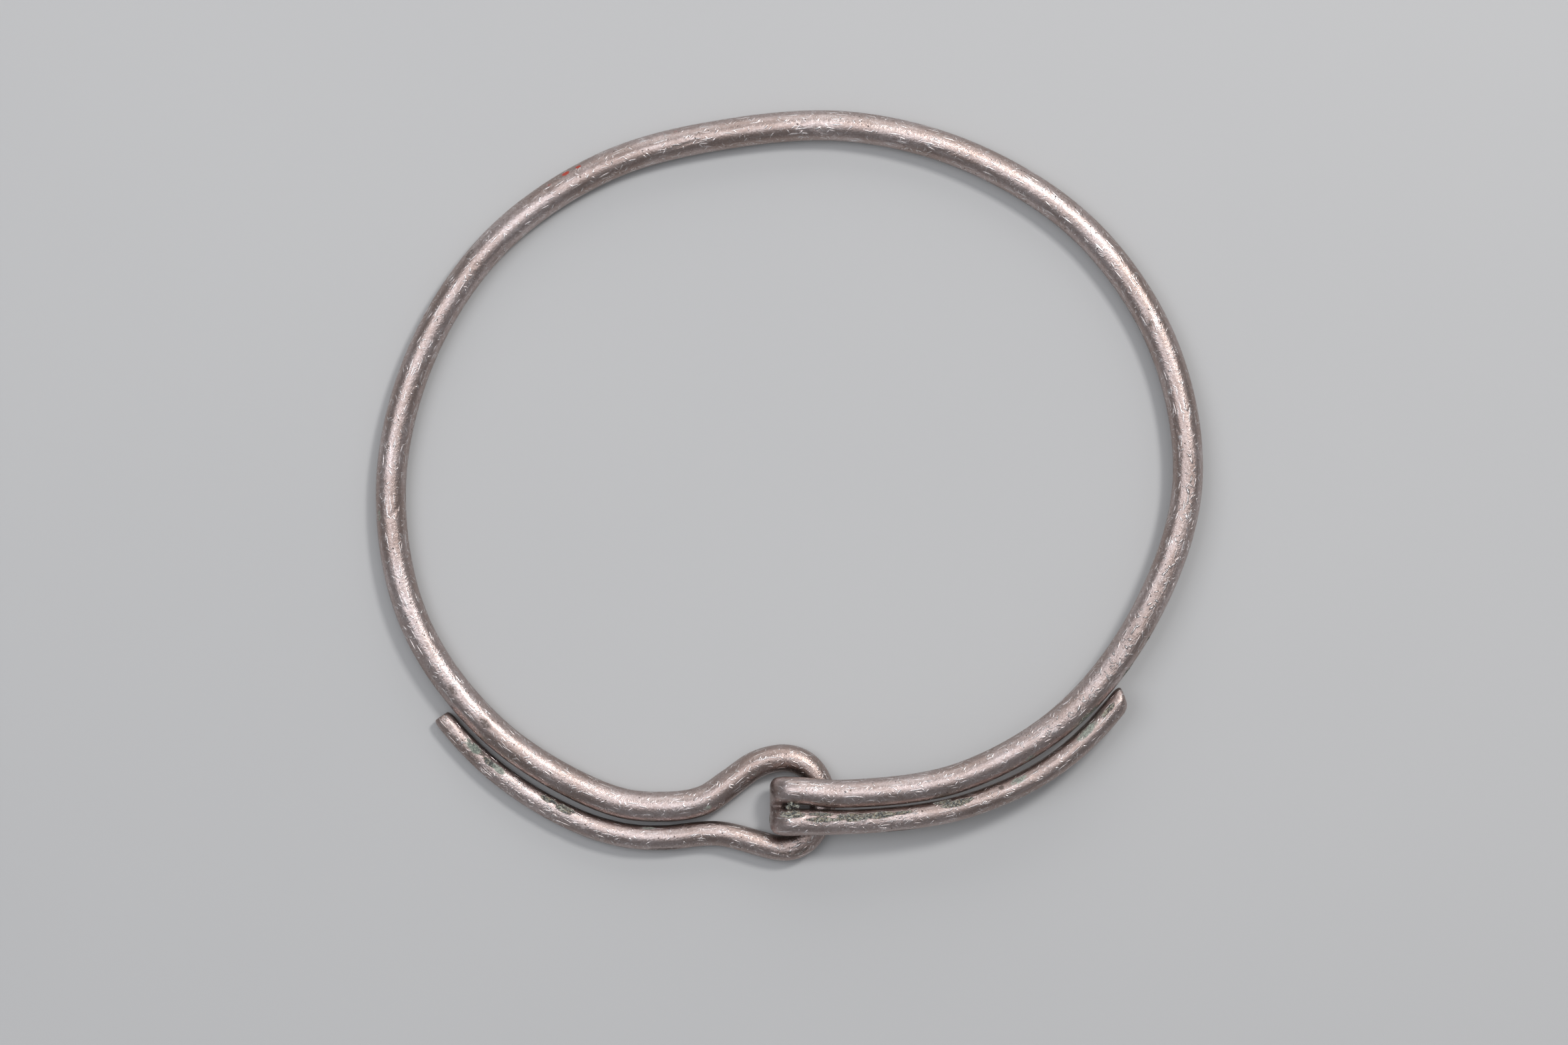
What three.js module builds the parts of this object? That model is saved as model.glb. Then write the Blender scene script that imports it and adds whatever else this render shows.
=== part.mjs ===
// A silver neck ring: one forged rod, bent into an oval hoop and closed by its own two ends.
// The left end is opened into an eye and doubled back outside the hoop. The right end is doubled back
// close against itself, and the end of that doubled rod is turned down through the eye as a hook.
// The ring lies flat: X runs across it, Y from the clasp to the back of the neck, and Z is up.
import * as THREE from "three";
import { mergeVertices } from "three/addons/utils/BufferGeometryUtils.js";

// Driving sizes, in millimetres.
const HOOP_WIDTH = 140; // across the hoop, outside to outside
const HOOP_ROD = 5.1; // thickness of the rod round the hoop
const NECK_ROD = 4.8; // where the hoop runs into the hook
const EYE_ROD = 4.3; // round the eye
const EYE_TOP_ROD = 4.6; // at the top of the eye, where the hoop runs into it
const HOOK_ROD = 4.6; // in the turned end of the hook
const ARM_ROD = 4.2; // where the arms double back
const LEFT_TIP_ROD = 3.2; // just before the left arm's blunt tip
const RIGHT_TIP_ROD = 3.8; // and before the right arm's
const TIP_FACE = 2.3; // a tip's worn flat end
const TIP_ROUNDING = 1.6; // length over which a tip rounds off to its end face
const HOOK_EYELET = 0.7; // the small hollow left inside the hook's doubled end
const HOOK_BEND = 2.7; // radius at which the hook is turned down, to the middle of the rod
const HOOK_PLAY = 3.1; // free room between the turned end and the eye's rod
const EYE_PLAY = 0.55; // free room between the hook and the eye, above and below it
const HOOK_SAG = 0.3; // how far the hook lies off the middle of the eye, towards the outside
const LIFT_PLAY = 0.35; // free room where the hook's arms pass over the eye's rod
const LEFT_GAP = 0.6; // between the left arm and the hoop, where it leaves the clasp and at its tip
const LEFT_SPRING = 0.3; // how much wider that gap stands where the arm springs furthest out
const RIGHT_GAP = 0.25; // the same for the right arm
const RIGHT_SPRING = 0.5;
const ARM_HUMP = 1.5; // how far the left arm humps up on its way from the hoop to the eye

// The hand-bent outline of the hoop, as shares of half its width, one reading every 20 degrees
// anticlockwise from beside the hook to beside the eye.
const HOOP_FIRST_ANGLE = -80;
const HOOP_ANGLE_STEP = 20;
const HOOP_REACH = [
  0.781, 0.842, 0.899, 0.945, 0.9955, 1.001, 0.981, 0.9435, 0.9145,
  0.897, 0.925, 0.958, 0.981, 1.001, 1.0015, 0.963, 0.908,
];
// The clasp, also as shares of half the width.
const CLASP = new THREE.Vector2(0.083, -0.796); // the eye's rounded end, where the hook crosses it
const EYE_MIDDLE = -0.013; // the middle of the eye's round end, across the ring
const EYE_LEAN = 0.04; // how much fuller the eye's upper half is bent than its lower half
const VALLEY = new THREE.Vector2(-0.317, -0.805); // the hoop's lowest bend, just before the eye
// Bends between the valley and the top of the eye, as shares of the way across and of the way up.
const RISE = [new THREE.Vector2(0.33, 0.13), new THREE.Vector2(0.55, 0.49), new THREE.Vector2(0.77, 0.87)];
const CREST_SHARE = 0.45; // where the left arm's hump stands, from the hoop to the eye
const LEFT_SPRING_SHARE = 0.5; // how far along it an arm springs furthest out
const RIGHT_SPRING_SHARE = 0.68;
const ARM_TAPER = 1.5; // above 1, an arm thins more towards its tip than at its root

// Angles round the hoop, in degrees.
const CLASP_ANGLE = -90; // between the eye and the hook
const LEFT_ARM_END = 212.9;
const RIGHT_ARM_END = -31.7;
const LIFT_FROM = 40; // the right half leaves the ground here
const LIFT_TO = -60; // and is clear over the eye from here
const NECK_SPAN = 40; // the rod thins from the hoop's thickness to the neck's over this much
const HOOK_TURN = 115; // how far the hook's end is turned down and back under

const HOOK_FLATTENING = 0.8; // hammered thickness of the hook's turned end, as a share of the rod
const SIDES = 16; // flats round the rod, one of them facing down
const ROUND_STEP = 6.5; // degrees the rod turns between two sections
const LONGEST_STEP = 3.8; // millimetres between two sections where the rod is nearly straight
const TIP_STEPS = 4; // sections along a tip's rounding
const FINE_STEPS = 200; // points between two places on the line, for choosing the sections
const ARM_STEPS = 8; // places along an arm
const EYE_STEPS = 6; // and round half an eye
const HOOK_STEPS = 8; // and round the hook's doubled end

const LEFT_ARM = {
  end: LEFT_ARM_END,
  tipRod: LEFT_TIP_ROD,
  gap: LEFT_GAP,
  spring: LEFT_SPRING,
  springShare: LEFT_SPRING_SHARE,
};
const RIGHT_ARM = {
  end: RIGHT_ARM_END,
  tipRod: RIGHT_TIP_ROD,
  gap: RIGHT_GAP,
  spring: RIGHT_SPRING,
  springShare: RIGHT_SPRING_SHARE,
};

const { degToRad, radToDeg, lerp, clamp, smoothstep } = THREE.MathUtils;
const halfWidth = (HOOP_WIDTH - HOOP_ROD) / 2;
const flatShare = Math.cos(Math.PI / SIDES); // from the rod's middle to a flat, as a share of its radius
const clasp = CLASP.clone().multiplyScalar(halfWidth);
const hookMiddle = clasp.y - HOOK_SAG;
const hookHalf = (HOOK_ROD + HOOK_EYELET) / 2; // from the hook's middle line to each of its arms
const hookTurn = degToRad(HOOK_TURN);
const hookSide = clasp.x - EYE_ROD / 2 - HOOK_PLAY - (HOOK_ROD * HOOK_FLATTENING) / 2;
const hookStart = hookSide + HOOK_BEND; // where the turn begins, across the ring
const hookEnd = hookStart - HOOK_BEND * hookTurn; // its doubled end if it were laid out flat
const hookLift = EYE_ROD * flatShare + LIFT_PLAY; // height of the arms' underside over the eye
const eyeHalf = hookHalf + HOOK_ROD / 2 + EYE_PLAY + EYE_ROD / 2;
const eyeMiddle = new THREE.Vector2(EYE_MIDDLE * halfWidth, clasp.y);

// Angle round the hoop, from just above the clasp's on the right to just below it on the left.
function angleOf(point) {
  const degrees = radToDeg(Math.atan2(point.y, point.x));
  return degrees < CLASP_ANGLE ? degrees + 360 : degrees;
}

// How far the underside of the rod stands off the ground at an angle round the hoop.
function liftAt(degrees) {
  return hookLift * (1 - smoothstep(degrees, LIFT_TO, LIFT_FROM));
}

// Thickness of the hoop's rod, drawn down towards the hook.
function hoopRodAt(degrees) {
  return lerp(NECK_ROD, HOOP_ROD, smoothstep(degrees - HOOP_FIRST_ANGLE, 0, NECK_SPAN));
}

// A place that the rod passes: its position in plan, its thickness and the lift of its underside.
function place(plan, rod, lift = 0) {
  return { plan, rod, lift };
}

// The hoop's own bends, clockwise from the valley beside the eye to the last bend before the hook.
function hoopPlaces() {
  const bends = HOOP_REACH.map((share, i) => {
    const degrees = HOOP_FIRST_ANGLE + i * HOOP_ANGLE_STEP;
    const turn = degToRad(degrees);
    const plan = new THREE.Vector2(Math.cos(turn), Math.sin(turn)).multiplyScalar(share * halfWidth);
    return place(plan, hoopRodAt(degrees), liftAt(degrees));
  });
  return [...bends, place(VALLEY.clone().multiplyScalar(halfWidth), HOOP_ROD)].reverse();
}

// The round end of the eye, from its foot beside the left arm, over the right, up to its thicker top.
function eyePlaces() {
  const reach = clasp.x - eyeMiddle.x;
  return Array.from({ length: EYE_STEPS + 1 }, (_, i) => {
    const turn = Math.PI * (i / EYE_STEPS - 0.5);
    const fullness = 1 + EYE_LEAN * Math.sin(turn);
    const plan = new THREE.Vector2(Math.cos(turn) * reach * fullness, Math.sin(turn) * eyeHalf);
    return place(plan.add(eyeMiddle), lerp(EYE_ROD, EYE_TOP_ROD, Math.max(Math.sin(turn), 0) ** 2));
  });
}

// The bends from the top of the eye back down to the valley.
function risePlaces(valley) {
  const top = eyeMiddle.clone().add(new THREE.Vector2(0, eyeHalf));
  const up = RISE.map((share) => {
    const plan = new THREE.Vector2(lerp(valley.x, top.x, share.x), lerp(valley.y, top.y, share.y));
    return place(plan, lerp(HOOP_ROD, EYE_TOP_ROD, share.y));
  });
  return up.reverse();
}

// The hook's doubled end, laid out flat before it is turned down: a half circle between two straights.
function hookPlaces() {
  const middle = new THREE.Vector2(hookEnd + hookHalf, hookMiddle);
  const across = new THREE.Vector2(0, hookHalf);
  const start = new THREE.Vector2(hookStart, hookMiddle);
  const round = Array.from({ length: HOOK_STEPS + 1 }, (_, i) => {
    const turn = Math.PI * (0.5 + i / HOOK_STEPS);
    const plan = new THREE.Vector2(Math.cos(turn), Math.sin(turn)).multiplyScalar(hookHalf);
    return place(plan.add(middle), HOOK_ROD, hookLift);
  });
  const first = place(start.clone().add(across), HOOK_ROD, hookLift);
  const last = place(start.clone().sub(across), HOOK_ROD, hookLift);
  return [first, ...round, last];
}

// An arm doubled back outside the hoop, clear of it by a gap that springs open on the way to its tip.
function armPlaces(hoopLine, firstAngle, arm) {
  const springPower = Math.log(0.5) / Math.log(arm.springShare); // puts the widest gap at its share
  const samples = hoopLine.getPoints(FINE_STEPS * ARM_STEPS);
  return Array.from({ length: ARM_STEPS + 1 }, (_, i) => {
    const along = i / ARM_STEPS;
    const degrees = lerp(firstAngle, arm.end, along);
    const offAngle = samples.map((sample) => Math.abs(angleOf(sample) - degrees));
    const nearest = offAngle.indexOf(Math.min(...offAngle));
    const tangent = samples[nearest + 1].clone().sub(samples[nearest - 1]).normalize();
    const outward = new THREE.Vector2(-tangent.y, tangent.x); // the hoop is followed clockwise
    const rod = lerp(ARM_ROD, arm.tipRod, along ** ARM_TAPER);
    const gap = arm.gap + arm.spring * Math.sin(Math.PI * along ** springPower) ** 2;
    const offset = (hoopRodAt(degrees) + rod) / 2 + gap;
    return place(samples[nearest].clone().addScaledVector(outward, offset), rod, liftAt(degrees));
  });
}

// Every place on the rod in order, from the left arm's tip to the right arm's.
function rodPlaces() {
  const hoop = hoopPlaces();
  const rise = risePlaces(hoop[0].plan);
  const hook = hookPlaces();
  const eye = eyePlaces();
  const hoopLine = new THREE.SplineCurve([rise.at(-1), ...hoop, hook[0]].map((each) => each.plan));
  const leftArm = armPlaces(hoopLine, angleOf(hoop[0].plan), LEFT_ARM).reverse();
  const rightArm = armPlaces(hoopLine, HOOP_FIRST_ANGLE, RIGHT_ARM);
  const crestPlan = leftArm.at(-1).plan.clone().lerp(eye[0].plan, CREST_SHARE);
  const crest = place(crestPlan.add(new THREE.Vector2(0, ARM_HUMP)), ARM_ROD);
  const left = [...leftArm, crest, ...eye, ...rise];
  return { places: [...left, ...hoop, ...hook, ...rightArm], hookFrom: left.length + hoop.length };
}

// Where a flat position comes to lie once the hook is turned down, and which way its top then faces.
function turnedDown(plan, height) {
  const turn = clamp((hookStart - plan.x) / HOOK_BEND, 0, hookTurn);
  const x = turn > 0 ? hookStart - HOOK_BEND * Math.sin(turn) : plan.x;
  const z = height - HOOK_BEND * (1 - Math.cos(turn));
  const facing = new THREE.Vector3(-Math.sin(turn), 0, Math.cos(turn));
  return { point: new THREE.Vector3(x, plan.y, z), facing };
}

// Close points along the whole rod, each with its direction, thickness, flattening and upward side.
function rodLine() {
  const { places, hookFrom } = rodPlaces();
  const knots = places.map((each) => new THREE.Vector3(each.plan.x, each.plan.y, each.lift));
  const curve = new THREE.CatmullRomCurve3(knots, false, "centripetal");
  const spans = places.length - 1;
  const count = spans * FINE_STEPS;
  const line = Array.from({ length: count + 1 }, (_, i) => {
    const spot = curve.getPoint(i / count);
    const span = Math.min(Math.floor(i / FINE_STEPS), spans - 1);
    const rod = lerp(places[span].rod, places[span + 1].rod, i / FINE_STEPS - span);
    const height = Math.max(spot.z, 0) + (rod / 2) * flatShare;
    if (span < hookFrom - 1) {
      const point = new THREE.Vector3(spot.x, spot.y, height);
      return { point, facing: new THREE.Vector3(0, 0, 1), rod, flattening: 1 };
    }
    const flattening = lerp(HOOK_FLATTENING, 1, smoothstep(spot.x, hookEnd, hookStart));
    return { ...turnedDown(spot, height), rod, flattening };
  });
  line.forEach((each, i) => {
    const before = line[Math.max(i - 1, 0)];
    each.tangent = line[Math.min(i + 1, count)].point.clone().sub(before.point).normalize();
    each.along = i === 0 ? 0 : before.along + each.point.distanceTo(before.point);
  });
  return line;
}

// The points where the rod gets a section: closer together where it bends or rounds off at a tip.
function chosenSections(line) {
  const length = line.at(-1).along;
  const sections = [line[0]];
  for (const each of line) {
    const last = sections.at(-1);
    const fromTip = Math.min(last.along, length - each.along);
    const longest = fromTip < TIP_ROUNDING ? TIP_ROUNDING / TIP_STEPS : LONGEST_STEP;
    const bend = radToDeg(each.tangent.angleTo(last.tangent));
    if (each.along - last.along > longest || bend > ROUND_STEP) sections.push(each);
  }
  sections[sections.length - 1] = line.at(-1);
  return sections;
}

// The rod's radius at a section, rounded off towards the worn face at each tip.
function radiusAt(section, length) {
  const fromTip = Math.min(section.along, length - section.along);
  const short = 1 - Math.min(fromTip / TIP_ROUNDING, 1);
  return lerp(TIP_FACE, section.rod, Math.sqrt(1 - short ** 2)) / 2;
}

// The rod before bending: straight, standing on Y with one unit to each section, drawn down at its ends.
function straightRod(sections) {
  const length = sections.at(-1).along;
  const profile = sections.map((section, i) => new THREE.Vector2(radiusAt(section, length), i));
  const closed = [new THREE.Vector2(0, 0), ...profile, new THREE.Vector2(0, sections.length - 1)];
  const blank = new THREE.LatheGeometry(closed, SIDES, Math.PI / SIDES);
  blank.deleteAttribute("normal");
  blank.deleteAttribute("uv");
  return withoutSlivers(mergeVertices(blank));
}

// Drops the triangles that shrank to nothing where the rod's end faces close on its axis.
function withoutSlivers(geometry) {
  const corners = Array.from(geometry.getIndex().array);
  const kept = [];
  for (let i = 0; i < corners.length; i += 3) {
    const [a, b, c] = corners.slice(i, i + 3);
    if (a !== b && b !== c && c !== a) kept.push(a, b, c);
  }
  geometry.setIndex(kept);
  return geometry;
}

// The rod as bent: every section of the straight rod moves to its own place on the line.
function bentRod(sections) {
  const rod = straightRod(sections);
  const spots = rod.getAttribute("position");
  for (let i = 0; i < spots.count; i++) {
    const { point, tangent, facing, flattening } = sections[Math.round(spots.getY(i))];
    const up = facing.clone().addScaledVector(tangent, -facing.dot(tangent)).normalize();
    const side = new THREE.Vector3().crossVectors(tangent, up);
    const spot = point.clone().addScaledVector(up, spots.getZ(i) * flattening);
    spot.addScaledVector(side, spots.getX(i));
    spots.setXYZ(i, spot.x, spot.y, spot.z);
  }
  rod.computeVertexNormals();
  return rod;
}

// Puts the origin under the middle of the ring, on the ground.
function grounded(geometry) {
  geometry.computeBoundingBox();
  const middle = geometry.boundingBox.getCenter(new THREE.Vector3());
  return geometry.translate(-middle.x, -middle.y, -geometry.boundingBox.min.z);
}

const silver = new THREE.MeshStandardMaterial({ color: 0xb5a7a0, roughness: 0.36, metalness: 1 });
const torcRod = new THREE.Mesh(grounded(bentRod(chosenSections(rodLine()))), silver);
torcRod.name = "torc_rod";

const torc = new THREE.Group();
torc.add(torcRod);

export default torc;
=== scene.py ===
"""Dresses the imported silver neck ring: one forged rod, bent into a hoop and closed by its own two ends.

The rod is made as a smith would: a straight round bar is drawn down at both ends, hammered, nicked and
dented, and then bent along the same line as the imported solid. The wear, the grain and the crust of burial
are shaders that follow the straight bar, so they run along the rod wherever it is bent.
"""

import logging
import math
from contextlib import contextmanager
from dataclasses import dataclass
from enum import Enum
from typing import Callable, Iterator, Sequence

import bmesh
import bpy
import numpy as np
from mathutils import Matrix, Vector
from mathutils.bvhtree import BVHTree


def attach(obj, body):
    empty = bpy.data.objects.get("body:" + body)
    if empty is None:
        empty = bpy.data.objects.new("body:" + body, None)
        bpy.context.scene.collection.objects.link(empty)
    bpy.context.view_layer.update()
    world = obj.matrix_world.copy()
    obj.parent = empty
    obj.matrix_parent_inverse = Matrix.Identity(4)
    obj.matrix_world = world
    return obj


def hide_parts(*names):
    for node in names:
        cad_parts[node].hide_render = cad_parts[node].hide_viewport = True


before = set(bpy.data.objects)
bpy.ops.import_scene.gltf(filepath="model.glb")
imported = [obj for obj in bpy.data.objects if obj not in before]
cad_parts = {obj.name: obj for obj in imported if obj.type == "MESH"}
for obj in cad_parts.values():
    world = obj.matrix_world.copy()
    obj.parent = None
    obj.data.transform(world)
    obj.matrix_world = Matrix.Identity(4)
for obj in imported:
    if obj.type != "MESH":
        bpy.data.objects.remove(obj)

LOG = logging.getLogger("neck_ring")
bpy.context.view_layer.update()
MM = 0.001
EDGE_SHARE = 0.985  # how near the rod's edge, seen from above, a mark may lie

Socket = bpy.types.NodeSocket
Colour = tuple[float, float, float]
ScratchLayer = tuple[float, tuple[float, float, float], float]


def smoothstep(value: np.ndarray, low: float, high: float) -> np.ndarray:
    """Eases from 0 at low to 1 at high."""
    share = np.clip((np.asarray(value, float) - low) / (high - low), 0.0, 1.0)
    return share * share * (3.0 - 2.0 * share)


def lerp(first: np.ndarray, second: np.ndarray, share: np.ndarray) -> np.ndarray:
    """The value that lies a share of the way from first to second."""
    return first + (second - first) * share


def unit(vectors: np.ndarray) -> np.ndarray:
    """The same rows of vectors, each with length 1."""
    return vectors / np.maximum(np.linalg.norm(vectors, axis=1, keepdims=True), 1e-12)


def spline_through(knots: np.ndarray, steps: int) -> np.ndarray:
    """Runs a centripetal Catmull-Rom curve through a row of knots.

    Args:
        knots: One row per knot.
        steps: Points made for each span between two knots.

    Returns:
        The points along the curve, one row each, the last knot included.
    """
    first = 2.0 * knots[:1] - knots[1:2]
    last = 2.0 * knots[-1:] - knots[-2:-1]
    row = np.vstack([first, knots, last])
    gap = np.linalg.norm(np.diff(row, axis=0), axis=1) ** 0.5
    points = []
    for span in range(len(knots) - 1):
        before, start, end, after = row[span : span + 4]
        gap_in, gap_here, gap_out = gap[span : span + 3]
        leave = (start - before) / gap_in - (end - before) / (gap_in + gap_here) + (end - start) / gap_here
        arrive = (end - start) / gap_here - (after - start) / (gap_here + gap_out) + (after - end) / gap_out
        leave, arrive = leave * gap_here, arrive * gap_here
        t = np.arange(steps)[:, None] / steps
        square = -3.0 * start + 3.0 * end - 2.0 * leave - arrive
        cube = 2.0 * start - 2.0 * end + leave + arrive
        points.append(start + leave * t + square * t**2 + cube * t**3)
    points.append(knots[-1:])
    return np.vstack(points)


class Stretch(Enum):
    """The stretches of the rod, in order from the left arm's tip."""

    LEFT_ARM = 0
    EYE = 1
    HOOP = 2
    HOOK = 3
    RIGHT_ARM = 4


class Effect(Enum):
    """What a mark does to the rod."""

    DENT = "dent"
    FLAT = "flat"
    # Dark marks: mostly dirt, but in the eye's crease under the hook painted shadow.
    STAIN_AND_SHADOW = "stain_and_shadow"
    CRUST = "crust"
    VERDIGRIS = "verdigris"
    RUST = "rust"
    COARSE = "coarse"
    # Lightens the colour as a painted glint and lowers the roughness as polish.
    POLISH_AND_PAINTED_GLINT = "polish_and_painted_glint"


@dataclass(frozen=True)
class Place:
    """A place that the rod passes, in millimetres: plan, thickness and the lift of its underside."""

    x: float
    y: float
    rod: float
    lift: float
    stretch: Stretch


@dataclass
class RodLine:
    """The bent rod's middle line: one row for each close point along it, in millimetres."""

    point: np.ndarray
    tangent: np.ndarray
    up: np.ndarray
    rod: np.ndarray
    flattening: np.ndarray
    stretch: np.ndarray
    along: np.ndarray

    @property
    def length(self) -> float:
        """The straightened rod's length."""
        return float(self.along[-1])

    def reading(self, values: np.ndarray, along: np.ndarray) -> np.ndarray:
        """Reads a value of the line at distances along the rod.

        Args:
            values: One number or one row for each point of the line.
            along: Distances from the left arm's tip.

        Returns:
            The numbers or rows at those distances.
        """
        if values.ndim == 1:
            return np.interp(along, self.along, values)
        return np.column_stack([np.interp(along, self.along, column) for column in values.T])

    def locate(self, stretch: Stretch, x: float, y: float) -> tuple[float, float, float]:
        """Finds the spot on the rod's upper side that is seen at a place in plan.

        Args:
            stretch: The stretch of the rod that the spot is on.
            x: Across the ring.
            y: From the clasp towards the back of the neck.

        Returns:
            The distance along the rod, the arc round it from its top, and the rod's heading there
            in degrees.
        """
        own = np.flatnonzero(self.stretch == stretch.value)
        offset = np.array([x, y]) - self.point[own, :2]
        nearest = own[np.argmin(np.einsum("ij,ij->i", offset, offset))]
        tangent = self.tangent[nearest]
        side = np.cross(tangent, self.up[nearest])
        radius = self.rod[nearest] / 2.0
        across = float(np.dot(np.array([x, y]) - self.point[nearest, :2], side[:2]))
        arc = radius * math.asin(max(-EDGE_SHARE, min(EDGE_SHARE, across / radius)))
        return float(self.along[nearest]), arc, math.degrees(math.atan2(tangent[1], tangent[0]))


@dataclass(frozen=True)
class RodPlan:
    """The bent rod's plan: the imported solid's own sizes, in millimetres, degrees and shares.

    The hook's hollowing and squareness are the dressed rod's alone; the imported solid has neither.
    """

    hoop_width: float = 140.0
    hoop_rod: float = 5.1
    neck_rod: float = 4.8
    eye_rod: float = 4.3
    eye_top_rod: float = 4.6
    hook_rod: float = 4.6
    arm_rod: float = 4.2
    left_tip_rod: float = 3.2
    right_tip_rod: float = 3.8
    tip_face: float = 2.3
    tip_rounding: float = 1.6
    hook_eyelet: float = 0.7
    hook_bend: float = 2.7
    hook_play: float = 3.1
    eye_play: float = 0.55
    hook_sag: float = 0.3
    lift_play: float = 0.35
    left_gap: float = 0.6
    left_spring: float = 0.3
    right_gap: float = 0.25
    right_spring: float = 0.5
    arm_hump: float = 1.5
    first_angle: float = -80.0
    angle_step: float = 20.0
    reach: tuple[float, ...] = (
        0.781, 0.842, 0.899, 0.945, 0.9955, 1.001, 0.981, 0.9435, 0.9145,
        0.897, 0.925, 0.958, 0.981, 1.001, 1.0015, 0.963, 0.908,
    )
    clasp: tuple[float, float] = (0.083, -0.796)
    eye_middle: float = -0.013
    eye_lean: float = 0.04
    valley: tuple[float, float] = (-0.317, -0.805)
    rise: tuple[tuple[float, float], ...] = ((0.33, 0.13), (0.55, 0.49), (0.77, 0.87))
    crest_share: float = 0.45
    left_spring_share: float = 0.5
    right_spring_share: float = 0.68
    arm_taper: float = 1.5
    left_arm_end: float = 212.9
    right_arm_end: float = -31.7
    lift_from: float = 40.0
    lift_to: float = -60.0
    neck_span: float = 40.0
    hook_turn: float = 115.0
    hook_flattening: float = 0.8
    hook_hollowing: float = 0.68
    hook_squareness: float = 0.13
    flat_share: float = 0.981
    fine_steps: int = 48
    arm_steps: int = 8
    eye_steps: int = 6
    hook_steps: int = 8

    @property
    def half_width(self) -> float:
        """From the ring's middle to the middle of the rod at its widest."""
        return (self.hoop_width - self.hoop_rod) / 2.0

    @property
    def clasp_x(self) -> float:
        """The eye's rounded end, across the ring."""
        return self.clasp[0] * self.half_width

    @property
    def clasp_y(self) -> float:
        """The middle of the clasp, from the ring's middle."""
        return self.clasp[1] * self.half_width

    @property
    def hook_half(self) -> float:
        """From the hook's middle line to each of its arms."""
        return (self.hook_rod + self.hook_eyelet) / 2.0

    @property
    def hook_start(self) -> float:
        """Where the hook begins to turn down, across the ring."""
        side = self.clasp_x - self.eye_rod / 2.0 - self.hook_play
        return side - self.hook_rod * self.hook_flattening / 2.0 + self.hook_bend

    @property
    def hook_end(self) -> float:
        """The hook's doubled end, if it were laid out flat."""
        return self.hook_start - self.hook_bend * math.radians(self.hook_turn)

    @property
    def hook_lift(self) -> float:
        """Height of the right arms' underside where they pass over the eye."""
        return self.eye_rod * self.flat_share + self.lift_play

    @property
    def eye_half(self) -> float:
        """From the clasp's middle to the middle of the eye's rod, above or below it."""
        return self.hook_half + self.hook_rod / 2.0 + self.eye_play + self.eye_rod / 2.0

    def lift_at(self, degrees: float) -> float:
        """How far the rod's underside stands off the ground at an angle round the hoop."""
        return self.hook_lift * (1.0 - float(smoothstep(degrees, self.lift_to, self.lift_from)))

    def hoop_rod_at(self, degrees: float) -> float:
        """The hoop's thickness at an angle, drawn down towards the hook."""
        from_hook = smoothstep(degrees - self.first_angle, 0.0, self.neck_span)
        return float(lerp(self.neck_rod, self.hoop_rod, from_hook))

    def hoop_places(self) -> list[Place]:
        """The hoop's own bends, clockwise from the valley beside the eye to the last before the hook."""
        places = []
        for index, share in enumerate(self.reach):
            degrees = self.first_angle + index * self.angle_step
            turn = math.radians(degrees)
            reach = share * self.half_width
            x, y = math.cos(turn) * reach, math.sin(turn) * reach
            places.append(Place(x, y, self.hoop_rod_at(degrees), self.lift_at(degrees), Stretch.HOOP))
        x, y = self.valley[0] * self.half_width, self.valley[1] * self.half_width
        places.append(Place(x, y, self.hoop_rod, 0.0, Stretch.HOOP))
        return places[::-1]

    def eye_places(self) -> list[Place]:
        """The eye's round end, from its foot beside the left arm, over the right, up to its thicker top."""
        middle = self.eye_middle * self.half_width
        places = []
        for index in range(self.eye_steps + 1):
            turn = math.pi * (index / self.eye_steps - 0.5)
            reach = (self.clasp_x - middle) * (1.0 + self.eye_lean * math.sin(turn))
            x = middle + math.cos(turn) * reach
            y = self.clasp_y + math.sin(turn) * self.eye_half
            rod = lerp(self.eye_rod, self.eye_top_rod, max(math.sin(turn), 0.0) ** 2)
            places.append(Place(x, y, rod, 0.0, Stretch.EYE))
        return places

    def rise_places(self, valley: Place) -> list[Place]:
        """The bends from the top of the eye back down to the valley."""
        top_x, top_y = self.eye_middle * self.half_width, self.clasp_y + self.eye_half
        return [
            Place(lerp(valley.x, top_x, share_x), lerp(valley.y, top_y, share_y),
                  lerp(self.hoop_rod, self.eye_top_rod, share_y), 0.0, Stretch.EYE)
            for share_x, share_y in reversed(self.rise)
        ]

    def hook_places(self) -> list[Place]:
        """The hook's doubled end, laid out flat: a half circle between two straights."""
        middle_x, middle_y = self.hook_end + self.hook_half, self.clasp_y - self.hook_sag
        spots = [(self.hook_start, middle_y + self.hook_half)]
        for index in range(self.hook_steps + 1):
            turn = math.pi * (0.5 + index / self.hook_steps)
            x = middle_x + math.cos(turn) * self.hook_half
            spots.append((x, middle_y + math.sin(turn) * self.hook_half))
        spots.append((self.hook_start, middle_y - self.hook_half))
        return [Place(x, y, self.hook_rod, self.hook_lift, Stretch.HOOK) for x, y in spots]

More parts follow.
